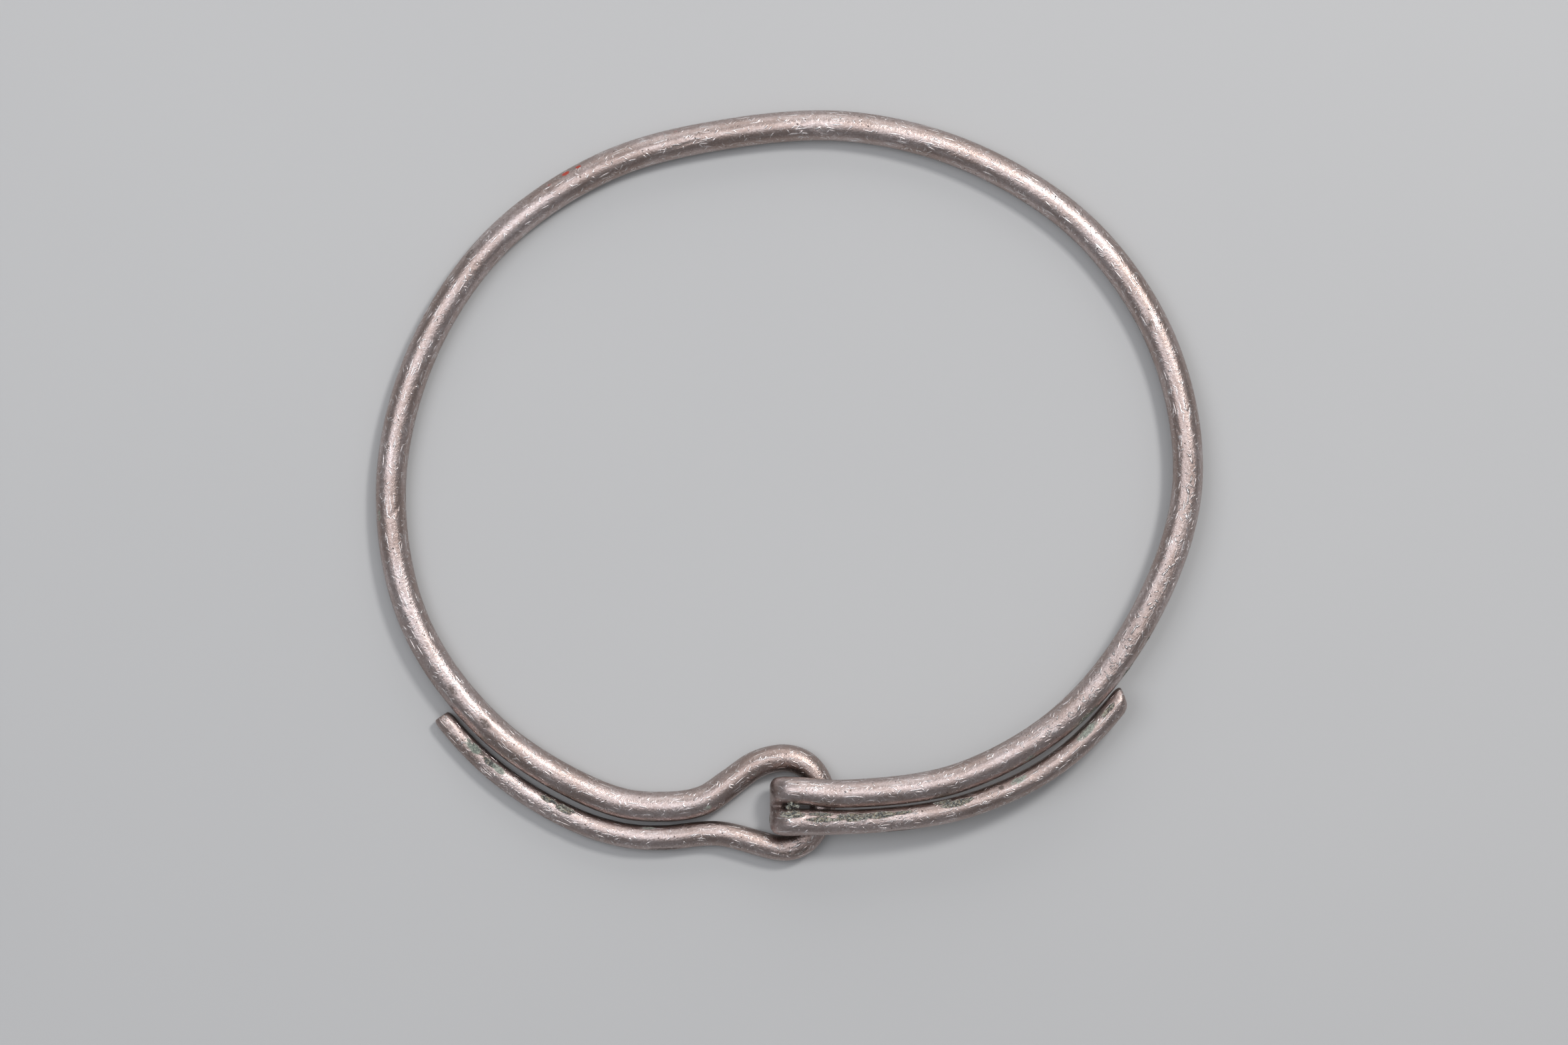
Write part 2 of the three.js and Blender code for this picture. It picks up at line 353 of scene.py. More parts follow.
    def arm_places(self, hoop: np.ndarray, ends: tuple[float, float], stretch: Stretch) -> list[Place]:
        """An arm doubled back outside the hoop, clear of it by a gap that springs open on its way.

        Args:
            hoop: Close points of the hoop's middle line, clockwise.
            ends: The arm's first and last angle round the hoop.
            stretch: Which arm it is.

        Returns:
            The arm's places, from the clasp to the tip.
        """
        if stretch is Stretch.LEFT_ARM:
            tip, least = self.left_tip_rod, self.left_gap
            spring, peak = self.left_spring, self.left_spring_share
        else:
            tip, least = self.right_tip_rod, self.right_gap
            spring, peak = self.right_spring, self.right_spring_share
        power = math.log(0.5) / math.log(peak)
        angle = np.degrees(np.arctan2(hoop[:, 1], hoop[:, 0]))
        angle = np.where(angle < -90.0, angle + 360.0, angle)
        tangent = unit(np.gradient(hoop, axis=0))
        places = []
        for index in range(self.arm_steps + 1):
            along = index / self.arm_steps
            degrees = ends[0] + (ends[1] - ends[0]) * along
            nearest = int(np.argmin(np.abs(angle - degrees)))
            rod = lerp(self.arm_rod, tip, along**self.arm_taper)
            gap = least + spring * math.sin(math.pi * along**power) ** 2
            offset = (self.hoop_rod_at(degrees) + rod) / 2.0 + gap
            x = hoop[nearest, 0] - tangent[nearest, 1] * offset
            y = hoop[nearest, 1] + tangent[nearest, 0] * offset
            places.append(Place(x, y, rod, self.lift_at(degrees), stretch))
        return places

    def places(self) -> list[Place]:
        """Every place on the rod in order, from the left arm's tip to the right arm's."""
        hoop = self.hoop_places()
        rise = self.rise_places(hoop[0])
        hook = self.hook_places()
        eye = self.eye_places()
        knots = np.array([(each.x, each.y) for each in [rise[-1], *hoop, hook[0]]])
        hoop_line = spline_through(knots, 4 * self.fine_steps)
        first = math.degrees(math.atan2(hoop[0].y, hoop[0].x)) % 360.0
        left = self.arm_places(hoop_line, (first, self.left_arm_end), Stretch.LEFT_ARM)
        right = self.arm_places(hoop_line, (self.first_angle, self.right_arm_end), Stretch.RIGHT_ARM)
        root, foot = left[0], eye[0]
        crest_x = lerp(root.x, foot.x, self.crest_share)
        crest_y = lerp(root.y, foot.y, self.crest_share) + self.arm_hump
        crest = Place(crest_x, crest_y, self.arm_rod, 0.0, Stretch.LEFT_ARM)
        return [*left[::-1], crest, *eye, *rise, *hoop, *hook, *right]

    def turned_down(self, spots: np.ndarray, hook: np.ndarray) -> tuple[np.ndarray, np.ndarray, np.ndarray]:
        """Turns the hook's end down and back under.

        Args:
            spots: Points of the rod's line, laid out flat.
            hook: True for the points that belong to the hook and the arm behind it.

        Returns:
            The points once turned down, the way that their tops face, and their flattening.
        """
        turn = np.clip((self.hook_start - spots[:, 0]) / self.hook_bend, 0.0, math.radians(self.hook_turn))
        turn = np.where(hook, turn, 0.0)
        turned = spots.copy()
        turned[:, 0] = np.where(turn > 0.0, self.hook_start - self.hook_bend * np.sin(turn), spots[:, 0])
        turned[:, 2] -= self.hook_bend * (1.0 - np.cos(turn))
        facing = np.column_stack([-np.sin(turn), np.zeros_like(turn), np.cos(turn)])
        eased = lerp(self.hook_flattening, 1.0, smoothstep(spots[:, 0], self.hook_end, self.hook_start))
        return turned, facing, np.where(hook, eased, 1.0)

    def line(self) -> RodLine:
        """Works out the bent rod's middle line, with the ring's box centred on the origin."""
        places = self.places()
        knots = np.array([(each.x, each.y, each.lift) for each in places])
        spots = spline_through(knots, self.fine_steps)
        span = np.minimum(np.arange(len(spots)) // self.fine_steps, len(places) - 2)
        share = np.arange(len(spots)) / self.fine_steps - span
        rods = np.array([each.rod for each in places])
        rod = lerp(rods[span], rods[span + 1], share)
        spots[:, 2] = np.maximum(spots[:, 2], 0.0) + rod / 2.0 * self.flat_share
        stretches = np.array([each.stretch.value for each in places])
        hook_from = int(np.argmax(stretches == Stretch.HOOK.value))
        point, facing, flattening = self.turned_down(spots, span >= hook_from - 1)
        tangent = unit(np.gradient(point, axis=0))
        up = unit(facing - tangent * np.einsum("ij,ij->i", facing, tangent)[:, None])
        spread = rod[:, None] / 2.0 * np.sqrt(np.maximum(1.0 - tangent**2, 0.0))
        middle = ((point - spread).min(axis=0) + (point + spread).max(axis=0)) / 2.0
        point[:, :2] -= middle[:2]
        along = np.concatenate([[0.0], np.cumsum(np.linalg.norm(np.diff(point, axis=0), axis=1))])
        return RodLine(point, tangent, up, rod, flattening, stretches[span], along)


@dataclass(frozen=True)
class Mark:
    """A mark on the rod's upper side, in millimetres in plan.

    A dent's, a flat's or a crust's depth is in millimetres; for every other effect it is the strength.
    The heading is the direction of the mark's long side in plan, in degrees from the X axis.
    """

    effect: Effect
    stretch: Stretch
    x: float
    y: float
    length: float
    width: float
    depth: float
    heading: float | None = None


LEFT, EYE, HOOP = Stretch.LEFT_ARM, Stretch.EYE, Stretch.HOOP
HOOK, RIGHT = Stretch.HOOK, Stretch.RIGHT_ARM
DENT, FLAT, STAIN_AND_SHADOW, CRUST = Effect.DENT, Effect.FLAT, Effect.STAIN_AND_SHADOW, Effect.CRUST
VERDIGRIS, RUST, COARSE, POLISH_AND_PAINTED_GLINT = Effect.VERDIGRIS, Effect.RUST, Effect.COARSE, Effect.POLISH_AND_PAINTED_GLINT

# What can be told apart on the photographed ring, stretch by stretch. Without a heading a mark lies
# along the rod.
MARKS = (
    # The left side of the hoop, from the arm's tip upwards.
    Mark(FLAT, HOOP, -54.6, -40.0, 3.4, 1.3, 0.22),
    Mark(STAIN_AND_SHADOW, HOOP, -51.2, -40.3, 1.5, 0.9, 0.9),
    Mark(STAIN_AND_SHADOW, HOOP, -56.7, -34.7, 1.3, 0.8, 0.8),
    Mark(DENT, HOOP, -56.7, -34.7, 1.2, 0.8, 0.05),
    Mark(DENT, HOOP, -56.3, -32.9, 0.35, 0.3, 0.06),
    Mark(DENT, HOOP, -58.0, -30.7, 0.35, 0.3, 0.06),
    Mark(DENT, HOOP, -61.0, -27.4, 0.4, 0.3, 0.07),
    Mark(COARSE, HOOP, -63.6, -27.6, 6.5, 1.5, 1.0),
    Mark(DENT, HOOP, -64.6, -20.6, 0.9, 0.3, 0.06, -30.0),
    Mark(DENT, HOOP, -66.3, -19.5, 0.8, 0.25, 0.06, 20.0),
    Mark(DENT, HOOP, -66.1, -18.6, 0.7, 0.25, 0.05, 12.0),
    Mark(DENT, HOOP, -66.0, -20.6, 0.7, 0.25, 0.05, 25.0),
    Mark(VERDIGRIS, HOOP, -69.3, -5.0, 1.1, 0.6, 0.8),
    Mark(VERDIGRIS, HOOP, -65.4, -1.8, 0.5, 0.4, 0.5),
    Mark(DENT, HOOP, -67.3, -5.4, 0.4, 0.35, 0.08),
    Mark(DENT, HOOP, -66.5, -4.6, 1.3, 0.28, 0.06, 55.0),
    Mark(DENT, HOOP, -68.4, 0.8, 1.2, 0.25, 0.06, 40.0),
    Mark(DENT, HOOP, -67.1, -2.0, 0.8, 0.25, 0.05, -20.0),
    Mark(DENT, HOOP, -65.8, 11.4, 0.9, 0.3, 0.05, 10.0),
    Mark(DENT, HOOP, -66.3, 13.0, 0.8, 0.3, 0.05, -15.0),
    Mark(DENT, HOOP, -63.3, 16.8, 0.4, 0.3, 0.07),
    Mark(DENT, HOOP, -58.8, 28.3, 0.9, 0.25, 0.05, -10.0),
    Mark(POLISH_AND_PAINTED_GLINT, HOOP, -61.3, 29.7, 0.7, 0.45, 0.9),
    Mark(DENT, HOOP, -52.8, 37.2, 0.45, 0.4, 0.08),
    Mark(STAIN_AND_SHADOW, HOOP, -54.0, 39.1, 1.6, 1.0, 0.7),
    Mark(DENT, HOOP, -51.4, 37.0, 1.1, 0.25, 0.05, -35.0),
    Mark(DENT, HOOP, -52.2, 36.2, 1.2, 0.25, 0.05, 10.0),
    Mark(FLAT, HOOP, -49.6, 38.5, 3.0, 1.2, 0.12),
    # The back of the neck, from left to right.
    Mark(DENT, HOOP, -41.0, 49.6, 0.5, 0.5, 0.1),
    Mark(RUST, HOOP, -37.85, 52.7, 0.65, 0.42, 1.5, 28.0),
    Mark(RUST, HOOP, -35.65, 53.85, 0.5, 0.34, 1.3, 28.0),
    Mark(RUST, HOOP, -40.55, 50.75, 0.55, 0.26, 0.6, 36.0),
    Mark(RUST, HOOP, -19.0, 59.9, 0.5, 0.3, 0.5),
    Mark(DENT, HOOP, -38.0, 50.2, 0.8, 0.25, 0.05, 60.0),
    Mark(DENT, HOOP, -34.3, 52.4, 0.8, 0.25, 0.05, 70.0),
    Mark(DENT, HOOP, -29.0, 52.8, 0.8, 0.3, 0.09, 20.0),
    Mark(DENT, HOOP, -30.7, 55.9, 0.9, 0.25, 0.05, 50.0),
    Mark(DENT, HOOP, -27.4, 54.4, 0.9, 0.25, 0.05, 35.0),
    Mark(DENT, HOOP, -21.5, 58.7, 0.9, 0.45, 0.06, 10.0),
    Mark(DENT, HOOP, -17.2, 57.7, 2.9, 0.2, 0.09, 17.0),
    Mark(DENT, HOOP, -15.0, 57.8, 0.9, 0.22, 0.07, -55.0),
    Mark(DENT, HOOP, 2.7, 60.0, 1.7, 0.2, 0.08, -31.0),
    Mark(DENT, HOOP, 1.8, 61.5, 0.5, 0.4, 0.07, 80.0),
    Mark(COARSE, HOOP, 4.7, 60.1, 0.9, 1.0, 0.9),
    Mark(POLISH_AND_PAINTED_GLINT, HOOP, 23.8, 57.4, 0.4, 0.35, 1.0),
    Mark(DENT, HOOP, 25.7, 56.3, 3.2, 0.2, 0.07, -6.0),
    Mark(VERDIGRIS, HOOP, 25.8, 59.1, 1.3, 0.5, 0.45),
    # The right side, downwards.
    Mark(DENT, HOOP, 38.6, 51.4, 0.5, 0.3, 0.06, 60.0),
    Mark(DENT, HOOP, 41.3, 50.2, 0.5, 0.3, 0.06, 20.0),
    Mark(DENT, HOOP, 58.8, 34.2, 0.5, 0.25, 0.09, 5.0),
    Mark(STAIN_AND_SHADOW, HOOP, 61.0, 27.2, 1.0, 0.7, 0.8),
    Mark(DENT, HOOP, 61.9, 25.3, 0.6, 0.3, 0.07, 10.0),
    Mark(DENT, HOOP, 63.7, 20.6, 0.7, 0.2, 0.05, 0.0),
    Mark(DENT, HOOP, 63.8, 19.6, 0.5, 0.2, 0.05, -15.0),
    Mark(DENT, HOOP, 64.4, 18.5, 0.5, 0.2, 0.05, 10.0),
    Mark(POLISH_AND_PAINTED_GLINT, HOOP, 64.1, 15.8, 0.4, 0.3, 1.0),
    Mark(DENT, HOOP, 64.8, 11.4, 0.5, 0.3, 0.06, -30.0),
    Mark(DENT, HOOP, 65.5, 9.4, 1.3, 0.22, 0.09, -62.0),
    Mark(POLISH_AND_PAINTED_GLINT, HOOP, 65.9, 8.1, 0.3, 0.3, 1.0),
    Mark(DENT, HOOP, 66.1, 5.3, 0.7, 0.3, 0.06, 75.0),
    Mark(DENT, HOOP, 67.5, 12.2, 0.3, 0.3, 0.06),
    Mark(COARSE, HOOP, 67.6, 1.5, 5.5, 1.1, 0.8),
    Mark(COARSE, HOOP, 66.8, -9.0, 7.0, 1.4, 0.9),
    Mark(COARSE, HOOP, 62.5, -18.5, 8.0, 1.6, 1.0),
    Mark(COARSE, HOOP, 56.0, -27.5, 9.0, 1.7, 1.0),
    Mark(COARSE, HOOP, 47.5, -38.0, 9.0, 1.6, 0.7),
    Mark(POLISH_AND_PAINTED_GLINT, HOOP, 68.6, -8.5, 0.3, 0.25, 0.9),
    Mark(RUST, HOOP, 66.2, -13.1, 0.3, 0.3, 0.6),
    Mark(DENT, HOOP, 62.2, -17.2, 0.8, 0.7, 0.09),
    Mark(DENT, HOOP, 58.7, -23.7, 0.9, 0.8, 0.07),
    Mark(CRUST, HOOP, 60.5, -25.9, 0.4, 0.3, 0.1),
    Mark(CRUST, HOOP, 57.2, -30.9, 1.6, 0.5, 0.14),
    Mark(DENT, HOOP, 54.4, -31.2, 0.6, 0.5, 0.08),
    Mark(DENT, HOOP, 49.9, -37.1, 1.0, 0.25, 0.07, 25.0),
    Mark(CRUST, HOOP, 50.3, -38.6, 2.2, 0.55, 0.05),
    Mark(VERDIGRIS, HOOP, 50.5, -38.7, 2.8, 0.7, 0.9),
    Mark(VERDIGRIS, HOOP, 48.1, -41.1, 1.8, 0.6, 1.0),
    Mark(VERDIGRIS, HOOP, 40.4, -45.9, 1.6, 0.5, 0.7),
    Mark(STAIN_AND_SHADOW, HOOP, 40.4, -45.9, 1.4, 0.4, 0.6),
    Mark(STAIN_AND_SHADOW, HOOP, 29.4, -51.4, 2.4, 0.35, 0.9),
    Mark(DENT, HOOP, 29.4, -51.4, 2.4, 0.35, 0.07),
    # The right arm, from its tip to the clasp.
    Mark(CRUST, RIGHT, 53.6, -37.9, 1.8, 0.5, 0.06),
    Mark(VERDIGRIS, RIGHT, 50.1, -41.4, 2.4, 0.75, 1.1),
    Mark(STAIN_AND_SHADOW, RIGHT, 51.7, -42.4, 1.6, 0.5, 0.5),
    Mark(DENT, RIGHT, 41.4, -48.9, 1.0, 0.7, 0.08, 50.0),
    Mark(DENT, RIGHT, 43.6, -48.0, 0.6, 0.5, 0.07),
    Mark(VERDIGRIS, RIGHT, 38.5, -49.5, 1.6, 0.6, 1.2),
    Mark(STAIN_AND_SHADOW, RIGHT, 35.7, -50.8, 0.55, 0.5, 1.3),
    Mark(CRUST, RIGHT, 28.2, -53.4, 3.0, 0.65, 0.07),
    Mark(CRUST, HOOK, 5.4, -55.3, 2.6, 0.42, 0.12),
    Mark(CRUST, HOOK, 5.6, -56.2, 3.2, 0.42, 0.11),
    Mark(STAIN_AND_SHADOW, HOOK, 4.9, -55.45, 2.3, 0.22, 1.0),
    Mark(STAIN_AND_SHADOW, HOOK, 4.7, -56.3, 2.5, 0.25, 0.9),
    Mark(CRUST, RIGHT, 10.8, -55.75, 3.4, 0.8, 0.1),
    Mark(CRUST, RIGHT, 15.4, -55.4, 2.6, 0.7, 0.09),
    Mark(CRUST, RIGHT, 19.2, -54.95, 1.6, 0.45, 0.07),
    Mark(COARSE, RIGHT, 13.0, -57.0, 12.0, 1.7, 0.5),
    Mark(CRUST, RIGHT, 25.8, -53.3, 1.6, 0.5, 0.06),
    Mark(STAIN_AND_SHADOW, RIGHT, 7.0, -57.0, 7.0, 0.35, 0.35),
    Mark(STAIN_AND_SHADOW, RIGHT, 18.7, -59.6, 3.4, 0.6, 1.0),
    Mark(COARSE, RIGHT, 38.0, -53.5, 8.0, 1.2, 0.8),
    Mark(DENT, HOOP, 23.0, -51.9, 4.0, 0.3, 0.08),
    Mark(STAIN_AND_SHADOW, HOOP, 7.5, -53.9, 1.2, 0.5, 0.9),
    # The hook's doubled end and the eye.
    Mark(CRUST, HOOK, 0.9, -53.6, 1.2, 0.9, 0.35),
    Mark(CRUST, HOOK, 1.0, -55.3, 1.6, 0.8, 0.3),
    Mark(CRUST, HOOK, -1.3, -55.8, 1.4, 0.8, 0.15),
    Mark(VERDIGRIS, EYE, 5.3, -47.3, 0.9, 0.7, 0.5),
    Mark(VERDIGRIS, EYE, -5.5, -48.7, 1.0, 0.6, 0.5),
    Mark(DENT, EYE, -3.7, -61.3, 1.5, 1.3, 0.2),
    # These two stains, in the eye's crease where it passes under the hook, are painted shadow.
    Mark(STAIN_AND_SHADOW, EYE, -0.9, -62.2, 1.6, 0.35, 0.9),
    Mark(FLAT, EYE, 3.6, -60.6, 2.4, 1.0, 0.12),
    Mark(STAIN_AND_SHADOW, EYE, 1.9, -62.0, 2.0, 0.45, 1.0),
    Mark(DENT, EYE, 1.6, -61.9, 1.6, 0.3, 0.12, 12.0),
    Mark(COARSE, EYE, 2.8, -61.0, 3.2, 1.7, 1.0),
    # The rise and the valley beside the eye.
    Mark(VERDIGRIS, EYE, -13.8, -54.5, 0.8, 0.6, 0.7),
    Mark(VERDIGRIS, HOOP, -15.7, -55.7, 2.0, 0.35, 0.5),
    Mark(DENT, HOOP, -19.2, -54.7, 0.6, 0.2, 0.04, 70.0),
    # The left arm, from the eye to its tip.
    Mark(STAIN_AND_SHADOW, LEFT, -17.0, -57.7, 0.55, 0.3, 1.0),
    Mark(VERDIGRIS, LEFT, -23.9, -57.9, 1.6, 0.45, 0.8),
    Mark(STAIN_AND_SHADOW, LEFT, -23.9, -57.9, 1.7, 0.6, 0.45),
    Mark(STAIN_AND_SHADOW, LEFT, -21.0, -61.5, 3.0, 0.5, 1.0),
    Mark(CRUST, LEFT, -40.5, -53.2, 1.7, 0.55, 0.07),
    Mark(CRUST, LEFT, -38.0, -54.6, 1.9, 0.75, 0.08),
    Mark(STAIN_AND_SHADOW, LEFT, -40.2, -53.2, 1.7, 0.55, 0.8),
    Mark(STAIN_AND_SHADOW, LEFT, -37.4, -54.6, 0.8, 0.5, 0.9),
    Mark(DENT, LEFT, -37.1, -56.6, 0.9, 0.25, 0.06, 40.0),
    Mark(VERDIGRIS, LEFT, -49.1, -47.9, 1.3, 0.6, 1.3),
    Mark(CRUST, LEFT, -50.6, -46.8, 1.5, 0.55, 0.06),
    Mark(STAIN_AND_SHADOW, LEFT, -51.9, -45.3, 1.0, 0.5, 1.0),
    Mark(CRUST, LEFT, -52.9, -44.6, 1.7, 0.7, 0.07),
    Mark(VERDIGRIS, LEFT, -53.4, -44.2, 1.9, 0.8, 1.3),
    Mark(DENT, LEFT, -57.1, -41.2, 0.5, 0.35, 0.12, 80.0),
    Mark(COARSE, LEFT, -56.5, -43.0, 5.0, 1.6, 0.6),
    Mark(COARSE, LEFT, -49.5, -50.0, 7.0, 1.8, 0.7),
    Mark(COARSE, LEFT, -40.0, -56.0, 7.0, 1.6, 0.7),
    Mark(DENT, LEFT, -48.0, -51.0, 0.7, 0.3, 0.1, -20.0),
    Mark(DENT, LEFT, -46.2, -52.4, 0.8, 0.3, 0.12, -30.0),
    Mark(DENT, LEFT, -45.3, -53.2, 0.6, 0.28, 0.1, -55.0),
    Mark(DENT, LEFT, -41.7, -55.6, 0.6, 0.3, 0.12, -40.0),
    Mark(DENT, LEFT, -40.6, -56.5, 0.6, 0.3, 0.12, -50.0),
    Mark(DENT, LEFT, -37.3, -57.6, 0.9, 0.35, 0.1, 25.0),
)


@dataclass
class StraightBar:
    """The rod before it is bent: each vertex by its distance along, its turn and its radius, in mm.

    The turn is counted from the bar's top, in radians, towards the side that the bend makes of it.
    """

    along: np.ndarray
    turn: np.ndarray
    radius: np.ndarray

    @classmethod
    def read(cls, mesh: bpy.types.Mesh) -> "StraightBar":
        """Reads the bar from a mesh that lies along X, in metres."""
        flat = np.empty(len(mesh.vertices) * 3)
        mesh.vertices.foreach_get("co", flat)
        x, y, z = flat.reshape(-1, 3).T / MM
        return cls(x.copy(), np.arctan2(y, z), np.hypot(y, z))

    def spots(self) -> np.ndarray:
        """The vertices' places on the straight bar, in millimetres."""
        return np.column_stack([self.along, self.radius * np.sin(self.turn), self.radius * np.cos(self.turn)])

    def write(self, mesh: bpy.types.Mesh) -> None:
        """Writes the bar's shape back to its mesh."""
        mesh.vertices.foreach_set("co", (self.spots() * MM).ravel())
        mesh.update()

    def nearness(self, line: RodLine, mark: Mark) -> np.ndarray:
        """How strongly a mark is felt at each vertex, from 1 at its middle to 0 well outside it."""
        middle, arc, heading = line.locate(mark.stretch, mark.x, mark.y)
        turn = 0.0 if mark.heading is None else math.radians(heading - mark.heading)
        ahead = self.along - middle
        across = (self.turn - arc / (line.reading(line.rod, np.array([middle]))[0] / 2.0)) * self.radius
        lengthwise = (ahead * math.cos(turn) + across * math.sin(turn)) / mark.length
        crosswise = (across * math.cos(turn) - ahead * math.sin(turn)) / mark.width
        return np.exp(-np.minimum(lengthwise**2 + crosswise**2, 40.0) ** 1.5)


@contextmanager
def at_the_bench(piece: bpy.types.Object, mode: str) -> Iterator[bmesh.types.BMesh]:
    """Opens one piece in edit mode with nothing selected, and leaves edit mode afterwards.

    Args:
        piece: The piece to work on.
        mode: VERT, EDGE or FACE, what is going to be selected.

    Yields:
        The piece's mesh, for selecting by place or normal.
    """
    bpy.context.view_layer.objects.active = piece
    piece.select_set(True)
    bpy.ops.object.mode_set(mode="EDIT")
    bpy.ops.mesh.select_mode(type=mode)
    bpy.ops.mesh.select_all(action="DESELECT")
    try:
        yield bmesh.from_edit_mesh(piece.data)
    finally:
        bpy.ops.object.mode_set(mode="OBJECT")


def choose(elements: Sequence, wanted: Callable[[object], bool]) -> int:
    """Selects the faces or edges that pass a test, and counts them."""
    chosen = [element for element in elements if wanted(element)]
    for element in chosen:
        element.select_set(True)
    return len(chosen)


def deselect_everything() -> None:
    """Clears the selection, because an operator acts on all that is selected."""
    bpy.ops.object.select_all(action="DESELECT")


def roughen(
    piece: bpy.types.Object, name: str, grain: float, detail: int, strength: float, group: str = "",
    level: float = 0.5,
) -> None:
    """Pushes a piece's surface in and out by a cloud pattern.

    Args:
        piece: The piece, whose mesh is changed for good.
        name: What the roughness is called while it is put on.
        grain: Size of the pattern's clouds, in millimetres.
        detail: How many finer layers the clouds have.
        strength: How far from the deepest to the highest, in millimetres.
        group: The vertex group that is roughened, or all of the piece.
        level: The pattern's value that leaves the surface where it is.
    """
    texture = bpy.data.textures.new(name, "CLOUDS")
    texture.noise_scale = grain * MM
    texture.noise_depth = detail
    change = piece.modifiers.new(name, "DISPLACE")
    change.texture = texture
    change.texture_coords = "LOCAL"
    change.strength = strength * MM
    change.mid_level = level
    change.vertex_group = group
    bpy.context.view_layer.objects.active = piece
    bpy.ops.object.modifier_apply(modifier=change.name)
    bpy.data.textures.remove(texture)


class NodeBoard:
    """Places shader nodes on one tree and joins them."""

    def __init__(self, tree: bpy.types.NodeTree) -> None:
        """Starts on an empty tree."""
        self.tree = tree
        self.placed = 0

    def add(self, kind: str, **settings: object) -> bpy.types.Node:
        """Adds a node with the given settings, further along the board."""
        node = self.tree.nodes.new(kind)
        node.location = (200 * (self.placed // 5), -180 * (self.placed % 5))
        self.placed += 1
        for name, value in settings.items():
            setattr(node, name, value)
        return node

    def feed(self, socket: Socket, value: Socket | float | Sequence[float]) -> None:
        """Joins a socket to another, or sets it to a constant."""
        if isinstance(value, bpy.types.NodeSocket):
            self.tree.links.new(value, socket)
        else:
            socket.default_value = value

    def fill(self, node: bpy.types.Node, values: dict[str, object]) -> bpy.types.Node:
        """Feeds several inputs of a node by their names, and returns the node."""
        for name, value in values.items():
            self.feed(node.inputs[name], value)
        return node

    def math(self, operation: str, *values: Socket | float) -> Socket:
        """Adds a Math node and returns its result."""
        node = self.add("ShaderNodeMath", operation=operation)
        for socket, value in zip(node.inputs, values):
            self.feed(socket, value)
        return node.outputs[0]

    def window(self, value: Socket, low: float, high: float) -> Socket:
        """Eases a value from 0 at low to 1 at high; low may be the greater."""
        node = self.add("ShaderNodeMapRange", interpolation_type="SMOOTHSTEP")
        return self.fill(node, {"Value": value, "From Min": low, "From Max": high}).outputs["Result"]

    def span(self, value: Socket, low: float, high: float) -> Socket:
        """Spreads a value that runs from 0 to 1 over a range."""
        node = self.add("ShaderNodeMapRange")
        return self.fill(node, {"Value": value, "To Min": low, "To Max": high}).outputs["Result"]

    def mix(self, share: Socket | float, first: Socket | Colour, second: Socket | Colour) -> Socket:
        """Mixes two colours."""
        node = self.add("ShaderNodeMix", data_type="RGBA")
        self.feed(node.inputs[0], share)
        for socket, colour in ((node.inputs[6], first), (node.inputs[7], second)):
            self.feed(socket, colour if isinstance(colour, bpy.types.NodeSocket) else (*colour, 1.0))
        return node.outputs[2]

    def scaled(self, vector: Socket, scale: Sequence[float]) -> Socket:
        """Stretches a pattern's coordinates, more where the scale is smaller."""
        node = self.add("ShaderNodeVectorMath", operation="MULTIPLY")
        self.feed(node.inputs[0], vector)
        node.inputs[1].default_value = scale
        return node.outputs[0]

    def noise(self, vector: Socket, scale: float, detail: float = 3.0, roughness: float = 0.5) -> Socket:
        """Adds a Noise texture and returns its value, from 0 to 1."""
        values = {"Vector": vector, "Scale": scale, "Detail": detail, "Roughness": roughness}
        return self.fill(self.add("ShaderNodeTexNoise"), values).outputs["Fac"]

    def times(self, first: Socket | float, second: Socket | float) -> Socket:
        """Multiplies two values."""
        return self.math("MULTIPLY", first, second)

    def relieve(self, shader: bpy.types.Node, height: Socket, strength: float, distance: float) -> None:
        """Gives a shader fine relief of a height that is scaled by a distance in metres."""
        values = {"Strength": strength, "Distance": distance, "Height": height}
        bump = self.fill(self.add("ShaderNodeBump"), values)
        self.feed(shader.inputs["Normal"], bump.outputs["Normal"])

    def attribute(self, name: str) -> bpy.types.Node:
        """Reads one of the piece's own attributes."""
        return self.add("ShaderNodeAttribute", attribute_name=name)


def new_material(name: str) -> tuple[bpy.types.Material, NodeBoard, bpy.types.Node]:
    """Starts a material, and gives it with a board on its tree and its main shader."""
    material = bpy.data.materials.new(name)
    material.use_nodes = True
    return material, NodeBoard(material.node_tree), material.node_tree.nodes["Principled BSDF"]


